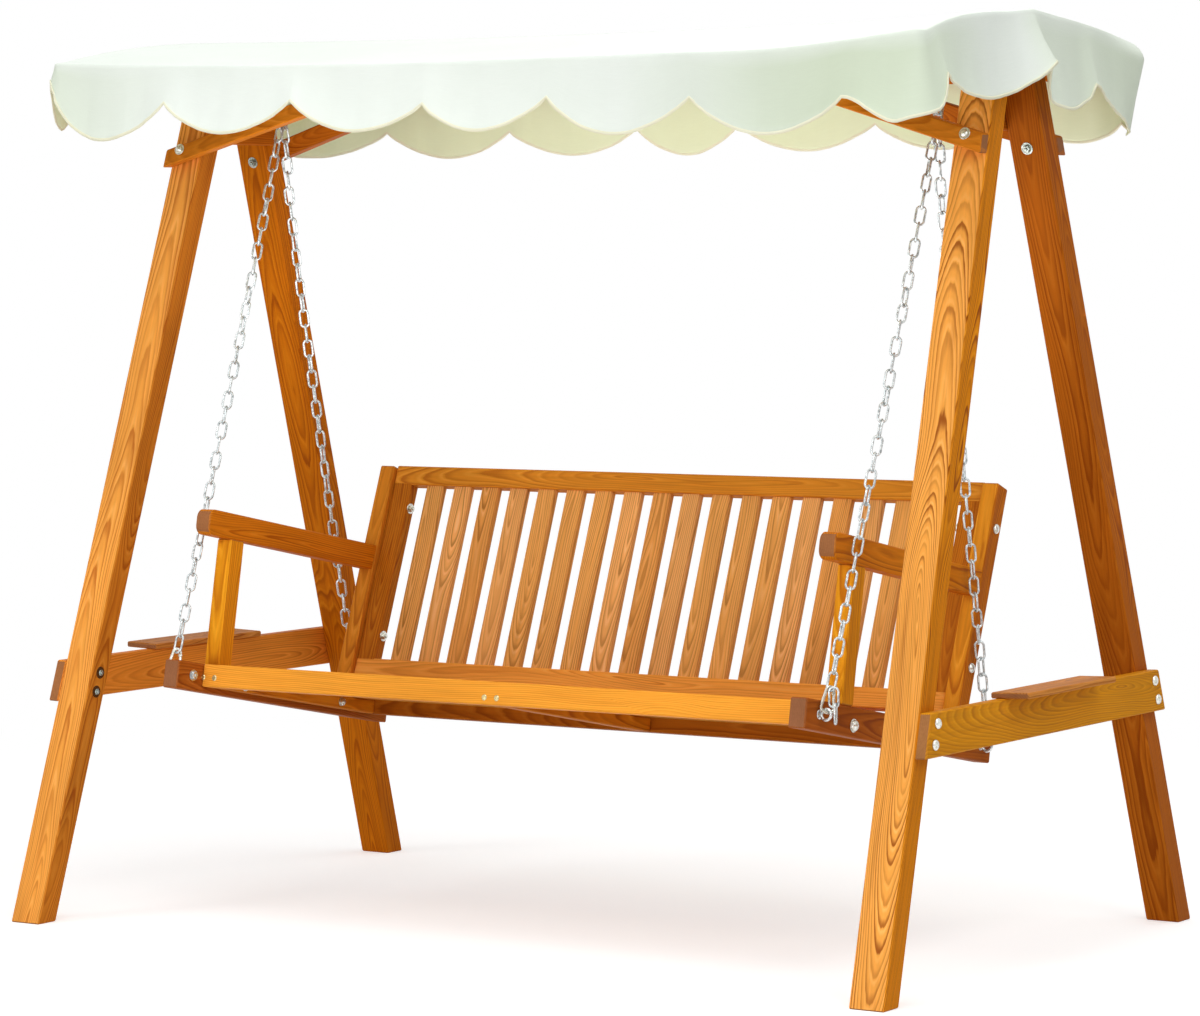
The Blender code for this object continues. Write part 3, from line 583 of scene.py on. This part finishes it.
def hexagon_nut(at, axis, radius=0.0082, height=0.0062, bolt=0.0036, proud=0.003, washer=0.0):
    """A six-sided nut with chamfered corners, the bolt's end in it, and a washer under it."""
    base = 0.0014 if washer else 0.0
    top = base + height
    body = [(0, base), (radius - 0.0008, base), (radius, base + 0.0010), (radius, top - 0.0012),
            (radius - 0.0011, top), (bolt + 0.0006, top), (bolt, top - 0.0006),
            (0, top - 0.0006)]
    bolt_end = [(0, top - 0.001), (bolt, top - 0.001), (bolt, top + proud - 0.0007),
                (bolt - 0.0007, top + proud), (0, top + proud)]
    found = [turned(body, at, axis, 6), turned(bolt_end, at, axis, 14)]
    if washer:
        found.append(rod(washer, 0, base, at, axis, 24))
    return found


FOOT_X, FOOT_Y = 1.045, 0.650


def leg_outer(z):
    """X of a leg's outer face at a height."""
    return FOOT_X - SPLAY * z


def leg_front(z):
    """Distance of a leg's outward face from the middle plane at a height."""
    return FOOT_Y - LEAN * z


LEG_WIDE, LEG_THICK = 0.075, 0.057
BRACE_THICK = 0.030
brace_z = 1.755 - 0.159 + RISE * LEG_WIDE / 2
tilt_cos = math.cos(math.atan(LEAN))
for corner, _, xs, ys in CORNERS:
    out = unit(np.array([0.0, ys, LEAN]))
    seat = np.array([xs * (leg_outer(brace_z) - LEG_WIDE / 2), ys * leg_front(brace_z), brace_z])
    head = seat + out * (BRACE_THICK * tilt_cos + GAP)
    back = seat - out * (LEG_THICK * tilt_cos + GAP)
    parts = coach_head(head, out, 0.0078, 0.0052, 0.012)
    parts.append(rod(0.0038, -0.090, 0.0, head, out, 12))
    made = piece(f"brace_bolt_set_{corner}", parts, "stand", bolt_steel)
    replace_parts(made, f"brace_bolt_{corner}")
    piece(f"brace_nut_{corner}", hexagon_nut(back, -out, washer=0.0122), "stand", nut_steel)

# Painted shade: a thin dark disc of wood round each inner nut stands for the shade down in its
# counterbore.
bore_shade = stained_wood("counterbore_shade", ((0, 0, 0), (0, 0, 0)), (1.0, 1.0), 0.0,
                         (0.11, 0.040, 0.009), (0.020, 0.008, 0.002), knots=0.0)
bore_shade_disc = [(0, 0), (0.0128, 0), (0.0125, 0.0006), (0.0110, 0.0003), (0, 0.0003)]
for side, xs in SIDES:
    outward = unit(np.array([xs, 0, SPLAY]))
    heads, nuts, bores = [], [], []
    for ys in (-1, 1):
        for z in (0.514, 0.475):
            place = np.array([xs * leg_outer(z), ys * (leg_front(z) - LEG_THICK / 2), z])
            heads += coach_head(place + outward * (0.025 + 0.0004), outward, 0.0106, 0.0058)
            nuts += hexagon_nut(place - outward * (LEG_WIDE + 0.0004), -outward, 0.0070, 0.0030)
            bores.append(turned(bore_shade_disc, place - outward * LEG_WIDE, -outward, 28))
    piece(f"stretcher_bolts_{side}", heads, "stand", bolt_steel)
    piece(f"stretcher_nuts_{side}", nuts, "stand", nut_steel)
    piece(f"counterbores_{side}", bores, "stand", bore_shade)

RAIL_OUT = HALF_BENCH + GAP
found = []
for side, xs in SIDES:
    out = np.array([xs, 0.0, 0])
    for z in (0.473, 0.183):
        y = 0.585 + 0.022 + LEAN_BACK * z
        found += coach_head(on_bench(xs * RAIL_OUT, y, z), out, 0.0104, 0.0064)
        found += hexagon_nut(on_bench(xs * 0.6895, y + 0.004, z), -out, washer=0.0115)
    for y, z in ((0.185, 0.023), (0.530, 0.026)):
        found += coach_head(on_bench(xs * RAIL_OUT, y, z), out, 0.0112, 0.0078, 0.0135)
        found += hexagon_nut(on_bench(xs * 0.7005, y, z), -out, washer=0.0095)
piece("bench_bolts", found, "swing", bolt_steel)

screw_head = [(0, 0), (0.0062, 0), (0.0062, 0.0004), (0.0044, 0.0019), (0.0018, 0.0021),
              (0.0012, 0.0010), (0, 0.0010)]
screws = [turned(screw_head, on_bench(x, 0.083 - 0.0002, z), -BACK, 16)
          for x, z in ((-0.736, 0.031), (-0.706, 0.031), (-0.020, 0.026), (0.010, 0.026),
                       (0.705, 0.030), (0.733, 0.030))]
screw_steel = plated("steel_screws", (0.72, 0.62, 0.33), (0.44, 0.36, 0.18))
piece("rail_screws", screws, "swing", screw_steel)

# Top hooks and eye bolts: bent round steel wire with a threaded end, a washer and a nut. The
# hooks go up through the beam, and the eye bolts go through the bench's side rails.


def wire_along(path, radius, sides=10):
    """A round wire bent to a closed loop: a circle carried along a path, square to it.

    The circle's axes are the path's normal in its own plane and that plane's normal.
    """
    ahead = unit(np.roll(path, -1, 0) - np.roll(path, 1, 0))
    side = unit(np.cross(ahead, np.cross(ahead[0], ahead[len(path) // 4])))
    raised = np.cross(side, ahead)
    angle = circle_of(sides)[:, None]
    size = np.broadcast_to(radius, (len(path),))[:, None, None]
    circle = np.cos(angle) * side[:, None] + np.sin(angle) * raised[:, None]
    return path[:, None] + size * circle, True, True


def ring_path(centre, first, second, radius, count=28):
    """Points round a circle in the plane of two directions."""
    angle = circle_of(count)[:, None]
    return centre + radius * (np.cos(angle) * first + np.sin(angle) * second)


hook_steel = plated("steel_hooks", (0.72, 0.74, 0.74), (0.40, 0.42, 0.42))
BEAM_TOP = 1.800
PIVOT_Z = 1.674
HOOK_X = 0.806
HOOK_ROUND, HOOK_WIRE = 0.0155, 0.0035
Y = np.array([0.0, 1.0, 0])
Z = np.array([0.0, 0, 1.0])
for side, xs in SIDES:
    eye = np.array([xs * HOOK_X, 0, PIVOT_Z])
    neck_low = eye + Z * HOOK_ROUND
    collar = [(0, 0), (0.0048, 0.0005), (0.0056, 0.003), (0.0048, 0.0055), (0, 0.006)]
    parts = [wire_along(ring_path(eye, Y, Z, HOOK_ROUND), HOOK_WIRE),
             rod(HOOK_WIRE, 0.0, 0.1210, neck_low, Z, 14),
             turned(collar, neck_low + Z * 0.0006, Z, 16)]
    on_beam = np.array([xs * HOOK_X, 0, BEAM_TOP + GAP])
    parts += hexagon_nut(on_beam, Z, 0.0075, 0.006, 0.0033, 0.002, 0.0095)
    made = piece(f"top_hook_eye_{side}", parts, "stand", hook_steel)
    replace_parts(made, f"top_hook_{side}")

EYE_ROUND, EYE_WIRE = 0.0105, 0.003
EYE_X = RAIL_OUT + 0.0015 + EYE_WIRE + EYE_ROUND
EYE_Z = 0.032
EYE_Y = {"front": 0.051, "rear": 0.757 - 0.046}
flange = [(0, 0), (0.0095, 0), (0.0099, 0.0004), (0.0095, 0.0013), (0.0052, 0.0017),
          (0.0034, 0.0030), (0, 0.0032)]
for corner, end, xs, _ in CORNERS:
    eye, face, inner = (on_bench(xs * x, EYE_Y[end], EYE_Z)
                        for x in (EYE_X, RAIL_OUT, half_panel))
    out = np.array([xs, 0.0, 0])
    parts = [wire_along(ring_path(eye, out, UP, EYE_ROUND, 24), EYE_WIRE),
             turned(flange, face, out, 24), rod(EYE_WIRE, -0.0400, 0.0028, face, out, 12)]
    parts += hexagon_nut(inner, -out, 0.0094, 0.0058, 0.0029, 0.0020, 0.0120)
    made = piece(f"eye_bolt_ring_{corner}", parts, "swing", hook_steel)
    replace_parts(made, f"eye_bolt_{corner}")

# Spring hooks: pear-shaped, of bent steel rod with a hinged gate on one side, which clips a chain
# to its eye bolt. The bow is the wide end, and the gate is a little thinner.


def long_loop(middle, across, along, length, width, count):
    """Points round a loop with two straight sides and two round ends, at even turns."""
    radius = width / 2
    straight = (length - width) / 2
    turn = circle_of(count) + np.pi / count
    side = radius * np.cos(turn)
    far = radius * np.sin(turn) + straight * np.sign(np.sin(turn))
    return middle + side[:, None] * across + far[:, None] * along


def hump(at, middle, reach):
    """A smooth hump, 1 in its middle and almost nothing at twice its reach."""
    return np.exp(-((at - middle) / reach) ** 2)


clip_steel = plated("steel_clips", (0.70, 0.71, 0.66), (0.38, 0.38, 0.30))
CLIP_TURN = math.radians(38)
CLIP_LONG, CLIP_WIDE = 0.050, 0.0155
CLIP_WIRE = 0.003
WIRE = 0.0024
barrel = [(0, -0.0036), (0.0030, -0.0036), (0.0036, -0.003), (0.0036, 0.003), (0.0030, 0.0036),
          (0, 0.0036)]
chain_runs = []
for corner, end, xs, _ in CORNERS:
    top_of_eye = on_bench(xs * EYE_X, EYE_Y[end], EYE_Z) + UP * EYE_ROUND
    eye = np.array([xs * HOOK_X, 0, PIVOT_Z])
    up = unit(eye - top_of_eye)
    beside = math.cos(CLIP_TURN) * np.cross(up, ALONG) + math.sin(CLIP_TURN) * ALONG
    low = top_of_eye - up * (EYE_WIRE + CLIP_WIRE + GAP)
    loop = long_loop(low + up * CLIP_LONG / 2, beside, up, CLIP_LONG, CLIP_WIDE, 34)
    level = (loop - low) @ up
    across = (loop - low) @ beside
    swell = 0.85 * hump(level, 0.012, 0.014) * (np.abs(across) > 0.002)
    loop = loop + (across * swell)[:, None] * beside
    gate = (across > 0) & (level > 0.010) & (level < 0.038)
    parts = [wire_along(loop, np.where(gate, 0.0024, 0.0031))]
    parts += [turned(barrel, low + up * height + beside * off, np.cross(up, beside), 14)
              for height, off in ((0.0105, 0.0143), (0.0375, 0.0078))]
    made = piece(f"spring_clip_{corner}", parts, "swing", clip_steel)
    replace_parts(made, f"spring_hook_{corner}")
    chain_runs.append((eye, up, low + up * (CLIP_LONG - CLIP_WIRE - WIRE - GAP)))

# Chains: welded links of nearly 5 mm steel wire, 34 mm apart, each turned a quarter from the last
# and zinc plated. They hang in pairs from one hook on each side, bowed a little on their way to
# the spring hooks. On the right, a spare end of chain hangs from the front one.
chain_steel = plated("steel_chain", (0.74, 0.80, 0.81), (0.34, 0.38, 0.39), 190.0, 0.75)
LINK_STEP = 0.034
LINK_WIDE = 0.018
BOWS = {"front": 0.004, "rear": -0.015}
APART = 0.0028


def link(middle, across, along, step):
    """One link: a long loop of wire that reaches over the wires of its neighbours."""
    loop = long_loop(middle, across, along, step + 2 * WIRE, LINK_WIDE, 16)
    return wire_along(loop, WIRE, 7)


def links(start, finish, twist, seed, bow):
    """Links from one wire middle to the other: loops in planes that turn by quarters.

    The chain turns by a twist within three links of each end and swings a little about it along
    its length, and each link lies a little off its plane. The run sags along Y by half a wave
    that is as deep as bow and deepest in the upper half.
    """
    reach = np.linalg.norm(finish - start)
    along = (finish - start) / reach
    count = int(round(reach / LINK_STEP))
    count += 1 - count % 2
    step = reach / count
    first = unit(np.cross(along, Y))
    second = np.cross(along, first)
    sway = np.random.default_rng(seed).normal(0, 0.12, count)
    found = []
    for number in range(count):
        near_end = min(1, min(number, count - 1 - number) / 3)
        slow = twist + 0.35 * math.sin(0.45 * number + seed)
        turn = number * np.pi / 2 + (slow + sway[number]) * near_end
        wave = math.sin(math.pi * (number / (count - 1)) ** 0.55) * min(1, number / 4)
        found.append(link(start + along * step * (number + 0.5) + Y * bow * wave,
                          math.cos(turn) * first + math.sin(turn) * second, along, step))
    return found


for number, (corner, end, xs, ys) in enumerate(CORNERS):
    eye, up, foot = chain_runs[number]
    top = eye - up * (HOOK_ROUND - HOOK_WIRE - WIRE - GAP) - ALONG * xs * ys * APART
    parts = links(top, foot, -0.5, 40 + number, BOWS[end])
    if corner == "front_right":
        for k, (turn, off) in enumerate(((0.4, 0.010), (1.9, 0.041))):
            middle = foot + np.array([0.0085 + 0.004 * k, -0.002, -0.004 - off])
            parts.append(link(middle, math.cos(turn) * ALONG + math.sin(turn) * Y, Z, LINK_STEP))
    made = piece(f"link_chain_{corner}", parts, "swing", chain_steel, 60)
    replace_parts(made, f"chain_{corner}")

# Canopy cloth: a woven acrylic sheet, ivory outside and beige inside, cut with a valance of round
# scallops, and laid over the arms with its corners sewn. It sags between the arms.
EAVE_Y = 0.450
HALF_ROOF, TO_LEFT = 1.045, 0.028
LEFT_X, RIGHT_X = -HALF_ROOF - TO_LEFT, HALF_ROOF - TO_LEFT
ROUND = 0.018
FOLD = 0.003
# Each scallop's first cusp, the cusp's height, its lowest height and the share where that lies:
# along X on the front, along Y on the right, back along X on the rear and along Y on the left.
front = [(-1.073, 1.755, 1.630, 0.42), (-0.758, 1.702, 1.637, 0.48), (-0.424, 1.699, 1.635, 0.48),
         (-0.101, 1.686, 1.631, 0.48), (0.186, 1.693, 1.619, 0.48), (0.506, 1.686, 1.613, 0.50),
         (0.850, 1.679, 1.631, 0.65)]
right = [(-0.400, 1.720, 1.679, 0.50), (0.000, 1.7605, 1.668, 0.35), (0.214, 1.715, 1.661, 0.50),
         (0.450, 1.621, 1.630, 0.50)]
rear = [(0.985, 1.643, 1.608, 0.45), (0.724, 1.655, 1.600, 0.50), (0.402, 1.655, 1.602, 0.50),
        (0.066, 1.658, 1.598, 0.50), (-0.190, 1.655, 1.602, 0.50), (-0.525, 1.655, 1.600, 0.50),
        (-0.857, 1.658, 1.608, 0.50)]
left = [(0.200, 1.695, 1.660, 0.50), (-0.060, 1.745, 1.672, 0.50), (-0.330, 1.712, 1.655, 0.62)]
front_cusps, right_cusps, rear_cusps, left_cusps = (
    np.array(scallops)[:, 0] for scallops in (front, right, rear, left))
_, cusp_heights, low_heights, low_places = np.array(front + right + rear + left).T
powers = np.full(len(low_places), 0.85)
# The scallop behind the right front leg hangs fuller than the others.
powers[8] = 0.50
CLOTH_THICK = 0.0012
length_x = RIGHT_X - LEFT_X
half_way = length_x + 2 * EAVE_Y
cusp_ways = np.concatenate([front_cusps - LEFT_X, length_x + right_cusps + EAVE_Y,
                            half_way + RIGHT_X - rear_cusps,
                            half_way + length_x + EAVE_Y - left_cusps])
ROUND_WAY = 2 * half_way


def roof_height(x, y):
    """The roof: two slopes from the ridge, lower halfway between the arms by a parabola.

    The front eave dips near the right, and the right end is raised by a table from front to rear.
    """
    share_x = np.clip(np.abs((x + TO_LEFT) / HALF_ROOF), 0, 1)
    share_y = np.abs(y) / EAVE_Y
    sag = (0.012 + 0.010 * share_y) * (1 - share_x ** 2)
    belly = np.sin(np.pi * share_y) * (0.003 - 0.012 * share_x ** 2)
    dip = 0.008 * share_y ** 2 * hump(x, 0.70, 0.22) * (y < 0)
    raised = np.clip((x - 0.55) / 0.45, 0, 1) ** 2 * np.interp(
        y, (-0.45, -0.36, -0.29, -0.20, -0.10, 0.0, 0.10, 0.20, 0.30, 0.45),
        (0.008, 0.0155, 0.0165, 0.0125, 0.0070, 0.0075, 0.0055, 0.0065, 0.009, 0.012))
    return 1.852 - 0.059 * share_y - sag - belly - dip + raised


def hem_height(way):
    """The valance's lower edge, in an arc from cusp to cusp, and the share of the arc passed.

    The arc is the sine of half a turn to a power, and the phase is bent so that the lowest point
    comes at that scallop's own place.
    """
    starts = np.searchsorted(cusp_ways, way % ROUND_WAY, "right") - 1
    ends = (starts + 1) % len(cusp_ways)
    length = (cusp_ways[ends] - cusp_ways[starts]) % ROUND_WAY
    phase = (way % ROUND_WAY - cusp_ways[starts]) / length
    place = low_places[starts]
    first, rise = cusp_heights[starts], cusp_heights[ends] - cusp_heights[starts]
    depth = first + rise * place - low_heights[starts]
    bent = np.clip(phase, 0, 1) ** (math.log(0.5) / np.log(place))
    return first + rise * phase - depth * np.abs(np.sin(np.pi * bent)) ** powers[starts], phase


def stations(low, high, keep, step=0.0115):
    """Even places from low to high that take in some fixed ones."""
    marks = np.unique(np.concatenate([[low, high], keep[(keep > low) & (keep < high)]]))
    runs = [np.linspace(a, b, max(2, int(round((b - a) / step)) + 1))[:-1]
            for a, b in zip(marks, marks[1:])]
    return np.concatenate(runs + [[high]])


xs_roof = stations(LEFT_X + ROUND, RIGHT_X - ROUND, np.concatenate([front_cusps, rear_cusps]))
ys_roof = stations(-EAVE_Y + ROUND, EAVE_Y - ROUND, np.concatenate([right_cusps, left_cusps]))
grid_x, grid_y = np.meshgrid(xs_roof, ys_roof, indexing="ij")
roof = np.stack([grid_x, grid_y, roof_height(grid_x, grid_y)], -1)

# The rim runs along each side and fans round each corner. way is the distance along the eave.
FAN = np.linspace(0, np.pi / 2, 7)[1:-1]
corner_ways = (0.0, length_x, half_way, half_way + length_x, ROUND_WAY)
rim, way = [], []
for quarter, run in enumerate(((xs_roof, ys_roof[:1]), (xs_roof[-1:], ys_roof),
                               (xs_roof[::-1], ys_roof[-1:]), (xs_roof[:1], ys_roof[::-1]))):
    x, y = np.broadcast_arrays(*run)
    gone = np.abs(x - x[0]) + np.abs(y - y[0])
    heading = np.concatenate([0 * gone, FAN]) + quarter * np.pi / 2
    rim.append([*(np.pad(at, (0, len(FAN)), "edge") for at in (x, y)), heading])
    way += [corner_ways[quarter] + ROUND + gone,
            corner_ways[quarter + 1] + (FAN - np.pi / 4) * ROUND]
rim_x, rim_y, heading = np.concatenate(rim, 1)
way = np.concatenate(way)
away = np.stack([np.sin(heading), -np.cos(heading)], -1)
rim_z = roof_height(rim_x, rim_y)
hem_z, phase = hem_height(way)


def flare(share):
    """How far the valance stands out from the eave, at a share of its drop.

    A lean grows with the share, and long waves, folds on the right gable, gathers under the eave,
    a curl at the hem and a bulge under the right rear corner are added.
    """
    lean = np.interp(way % ROUND_WAY, *zip(
        (0.0, 0.012), (0.25, 0.018), (0.6, 0.028), (1.1, 0.020), (1.45, -0.002), (1.8, -0.004),
        (1.97, 0.012), *((length_x + on, out) for on, out in (
            (0.0, 0.042), (0.08, 0.020), (0.25, 0.014), (0.36, 0.036), (0.436, 0.062),
            (0.460, 0.028), (0.50, 0.012), (0.66, 0.024), (0.84, 0.004))),
        (half_way, -0.017), (half_way + 0.06, 0.004), (half_way + 0.2, 0.010),
        (half_way + length_x - 0.1, 0.010), (half_way + length_x + 0.45, 0.016),
        (ROUND_WAY, 0.012)))
    waves = (0.0022 * np.sin(way * 2 * np.pi / 0.163 + 0.7)
             + 0.0014 * np.sin(way * 2 * np.pi / 0.071 + 2.1)
             + 0.0008 * np.sin(way * 2 * np.pi / 0.029))
    folds = (0.0045 * hump(way, length_x + 0.68, 0.14)
             * np.sin((way - length_x) * 2 * np.pi / 0.13 + 0.4))
    curl = 0.007 * np.sin(np.pi * np.clip(phase, 0, 1) ** 0.8) ** 2
    gathers = (0.0006 + 0.0036 * hump(way, 1.80, 0.14)) * np.sin(way * 2 * np.pi / 0.023)
    bulge = 0.026 * hump(way, half_way, 0.09) * min(1, share / 0.16) ** 0.7 * (1 - share)
    return (lean * share ** 1.2 + (waves + folds) * share ** 0.8 + curl * share ** 4
            + gathers * math.exp(-share / 0.10) + bulge)


def pushed(out, z):
    """The rim pushed outwards by a distance, at a height."""
    return np.stack([rim_x + away[:, 0] * out, rim_y + away[:, 1] * out, z], -1)


skirt = np.stack(
    [pushed(ROUND * math.sin(angle), rim_z - FOLD * (1 - math.cos(angle)))
     for angle in np.linspace(0, np.pi / 2, 6)]
    + [pushed(ROUND + flare(share), rim_z - FOLD + (hem_z - (rim_z - FOLD)) * share)
       for share in np.linspace(0, 1, 19)[1:]])


def plain_weave():
    """Plain weave from a map in metres: warp and weft threads, over and under in turn."""
    tree, (spot, thread), made = new_group("plain_weave", ("Vector", "Thread"),
                                           ("Height", "Tone", "Clouds"))
    x, y, _ = node("SeparateXYZ", spot)
    across, along = x / thread, y / thread
    warp, weft = ((turns * 3.1416).math("SINE").math("ABSOLUTE") for turns in (across, along))
    over = (across.math("FLOOR") + along.math("FLOOR")).math("MODULO", 2.0)
    height = warp * over + weft * over.line(-1.0, 1.0)
    slub = mottle(spot, (30, 500, 1), 5.2)[0]
    feed(height, made["Height"])
    feed(slub.line(0.5, height * 0.5), made["Tone"])
    feed(mottle(spot, (3, 3, 3), 2.2, 3.0)[0], made["Clouds"])
    return tree


WEAVE = plain_weave()


def woven(name, colour, shade):
    """Woven cloth, mapped in metres, greener and duller where the mesh carries painted shade."""
    material, tree, shader = new_material(name)
    flat = node("UVMap", tree=tree, uv_map="cloth")[0]
    height, tone, clouds = node("Group", node_tree=WEAVE, Vector=flat, Thread=0.0007)
    colour = mixed(between(clouds, 0.35, 0.68, 0.0, 0.6), (*colour, 1), (*shade, 1))
    colour = mixed(1.0, colour, between(tone, 0.1, 0.9, 0.95, 1.03, False), "MULTIPLY")
    # Painted shade: a greener, duller tint, as strong as the value the mesh carries.
    painted_shade = node("Attribute", tree=tree, attribute_name="painted_shade")[2]
    colour = mixed(painted_shade, colour, mixed(1.0, colour, (0.78, 0.83, 0.69, 1), "MULTIPLY"))
    shader["Specular IOR Level"].default_value = 0.25
    shader["Sheen Weight"].default_value = 0.08
    shader["Sheen Roughness"].default_value = 0.5
    dress(shader, colour, between(tone, 0.0, 1.0, 0.94, 0.8, False), height, 0.3, 0.0002)
    return material


def cloth_map(mesh, flat):
    """Write a flat map in metres, given point by point, to a mesh's corners."""
    layer = mesh.uv_layers.new(name="cloth")
    corner = np.empty(len(mesh.loops), np.int64)
    mesh.loops.foreach_get("vertex_index", corner)
    layer.data.foreach_set("uv", flat[corner].astype(np.float32).ravel())


mesh = bpy.data.meshes.new("canopy_cloth")
points = np.concatenate([roof.reshape(-1, 3), skirt.reshape(-1, 3)])
faces = [quads(*roof.shape[:2]), quads(*skirt.shape[:2], False, True) + grid_x.size]
mesh.from_pydata(points.tolist(), [], np.concatenate(faces).tolist())
drop = 3.0 + 0.0075 * np.arange(len(skirt))
skirt_map = np.stack(np.broadcast_arrays(way, drop[:, None]), -1)
cloth_map(mesh, np.concatenate([roof[..., :2].reshape(-1, 2), skirt_map.reshape(-1, 2)]))
# Painted shade: a value along the eave and down the drop, strongest round the right front corner and
# on the right end's rear half, which tints the cloth greener and duller.
shade_way = np.interp(way % ROUND_WAY, *zip(
    (0.0, 0.6), (0.12, 0.4), (0.35, 0.0), (1.42, 0.0), (1.60, 0.30), (1.75, 0.8), (1.9, 1.0),
    (2.05, 0.95), (2.20, 0.60), (2.34, 0.05), (2.46, 0.0), (2.53, 0.45), (2.70, 0.6),
    (2.95, 0.75), (3.1, 0.4), (ROUND_WAY - 0.2, 0.4), (ROUND_WAY, 0.5)))
shade_rows = np.interp(np.arange(len(skirt)), (0, 5, 9, len(skirt) - 3, len(skirt)),
                      (0.0, 0.3, 1.0, 1.0, 0.6))
wear_and_shade = np.concatenate([np.zeros(grid_x.size), np.outer(shade_rows, shade_way).ravel()])
mesh.attributes.new("painted_shade", "FLOAT", "POINT").data.foreach_set("value", wear_and_shade)
welded(mesh)
mesh.materials.append(woven("cloth_outside", (0.845, 0.895, 0.835), (0.795, 0.855, 0.78)))
mesh.materials.append(woven("cloth_inside", (0.90, 0.955, 0.72), (0.86, 0.92, 0.66)))
cloth = placed("canopy_cloth", mesh)
thickness = cloth.modifiers.new("thickness", "SOLIDIFY")
thickness.thickness = CLOTH_THICK
thickness.offset = -1
thickness.material_offset = 1
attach(cloth, "stand")
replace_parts(cloth, "canopy_cover")

# Binding: a folded tape of the same yarn, cream coloured, sewn over the valance's cut edge all
# round.
hem = skirt[-1]
out_hem = np.pad(away, ((0, 0), (0, 1)))
up_hem = unit(np.cross(np.roll(hem, -1, 0) - np.roll(hem, 1, 0), out_hem))
up_hem *= np.sign(up_hem[:, 2:])
angle = circle_of(12)[:, None]
tape = ((hem - out_hem * 0.0006 + up_hem * 0.0026)[:, None]
        + 0.0017 * np.cos(angle) * out_hem[:, None] + 0.0033 * np.sin(angle) * up_hem[:, None])
tape_cloth = woven("cloth_binding", (0.85, 0.84, 0.65), (0.79, 0.77, 0.56))
binding = piece("canopy_binding", [(tape, True, True)], "stand", tape_cloth, 80)
spots = points_of(binding.data)
cloth_map(binding.data, np.stack([spots[:, 0] + spots[:, 1], spots[:, 2]], 1))

# Stage: a pale floor that keeps the shadow near the swing and is plain white further out, soft
# studio light from the front left, lamps from below for the light that a white studio throws
# back under the canopy, and the photograph's camera.


def seen(tree):
    """1 on rays from the camera, also by way of gloss or glass, and 0 on others."""
    rays = tree.nodes.new("ShaderNodeLightPath").outputs
    camera, gloss, glass = (Wire(rays[f"Is {kind} Ray"])
                            for kind in ("Camera", "Glossy", "Transmission"))
    return camera.math("MAXIMUM", gloss.math("MAXIMUM", glass))


floor_mesh = bpy.data.meshes.new("floor")
floor_mesh.from_pydata([(-60, -60, 0), (60, -60, 0), (60, 60, 0), (-60, 60, 0)], [],
                       [(0, 1, 2, 3)])
placed("floor", floor_mesh)
paint, tree, shader = new_material("floor_paint")
shader["Base Color"].default_value = (0.74, 0.74, 0.74, 1)
shader["Roughness"].default_value = 0.9
shader["Specular IOR Level"].default_value = 0.1
reach = node("VectorMath", node("TexCoord", tree=tree)[3], operation="LENGTH")[1]
watched = seen(tree)
matt = Wire(tree.nodes["Principled BSDF"].outputs[0])
near = node("AddShader", matt, node("Emission", Strength=watched * 0.50)[0])[0]
plain_white = node("Emission", tree=tree)[0]
blend = node("MixShader", between(reach, 1.6, 4.0) * watched, near, plain_white)[0]
feed(blend, tree.nodes["Material Output"].inputs["Surface"])
floor_mesh.materials.append(paint)

world = bpy.data.worlds.new("studio")
bpy.context.scene.world = world
world.use_nodes = True
around = world.node_tree.nodes["Background"].inputs
around["Color"].default_value = (1.0, 1.0, 1.0, 1)
feed(between(seen(world.node_tree), 0.0, 1.0, 0.46, 1.0, False), around["Strength"])


def lamp(name, at, aim, size, watts, deep=None):
    """A soft lamp that looks at a point, square if it isn't given its depth."""
    light = bpy.data.lights.new(name, "AREA")
    light.shape = "RECTANGLE"
    light.size = size
    light.size_y = deep or size
    light.energy = watts
    made = placed(name, light)
    made.location = at
    made.visible_camera = False
    made.rotation_euler = (Vector(aim) - Vector(at)).to_track_quat("-Z", "Y").to_euler()


lamp("key", (-2.8, -3.4, 4.2), (0, 0, 1.1), 1.6, 40)
lamp("low", (-1.0, -6.0, 1.6), (0, 0, 1.2), 2.4, 34)
lamp("fill", (4.5, -2.0, 4.0), (0, 0, 1.2), 2.4, 52)
lamp("under", (0.2, -2.6, 0.04), (0, 0.5, 1.7), 1.6, 25)
lamp("uplight", (0.0, -0.20, 1.2), (0.0, 0.1, 1.9), 1.5, 3.6, 0.4)
lamp("gable", (0.93, 0.42, 1.25), (0.95, 0.46, 1.8), 0.3, 0.45)
lamp("top", (0.9, -0.6, 5.6), (0, 0, 0.9), 3.6, 120)

azimuth, elevation, roll = math.radians(33.07), math.radians(3.49), math.radians(-0.33)
behind = Vector((math.sin(azimuth) * math.cos(elevation),
                 -math.cos(azimuth) * math.cos(elevation), math.sin(elevation)))
level = Vector((0, 0, 1)).cross(behind).normalized()
above = behind.cross(level)
turned_right = level * math.cos(roll) + above * math.sin(roll)
turned_up = above * math.cos(roll) - level * math.sin(roll)
camera = placed("camera", bpy.data.cameras.new("camera"))
camera.matrix_world = (Matrix.Translation(Vector((0.008, 0, 0.862)) + behind * 9.102)
                       @ Matrix((turned_right, turned_up, behind)).transposed().to_4x4())
camera.data.sensor_width = 36
camera.data.lens = 4392 / 1200 * 36
camera.data.clip_end = 200
bpy.context.scene.camera = camera
bpy.context.scene.view_settings.view_transform = "Standard"
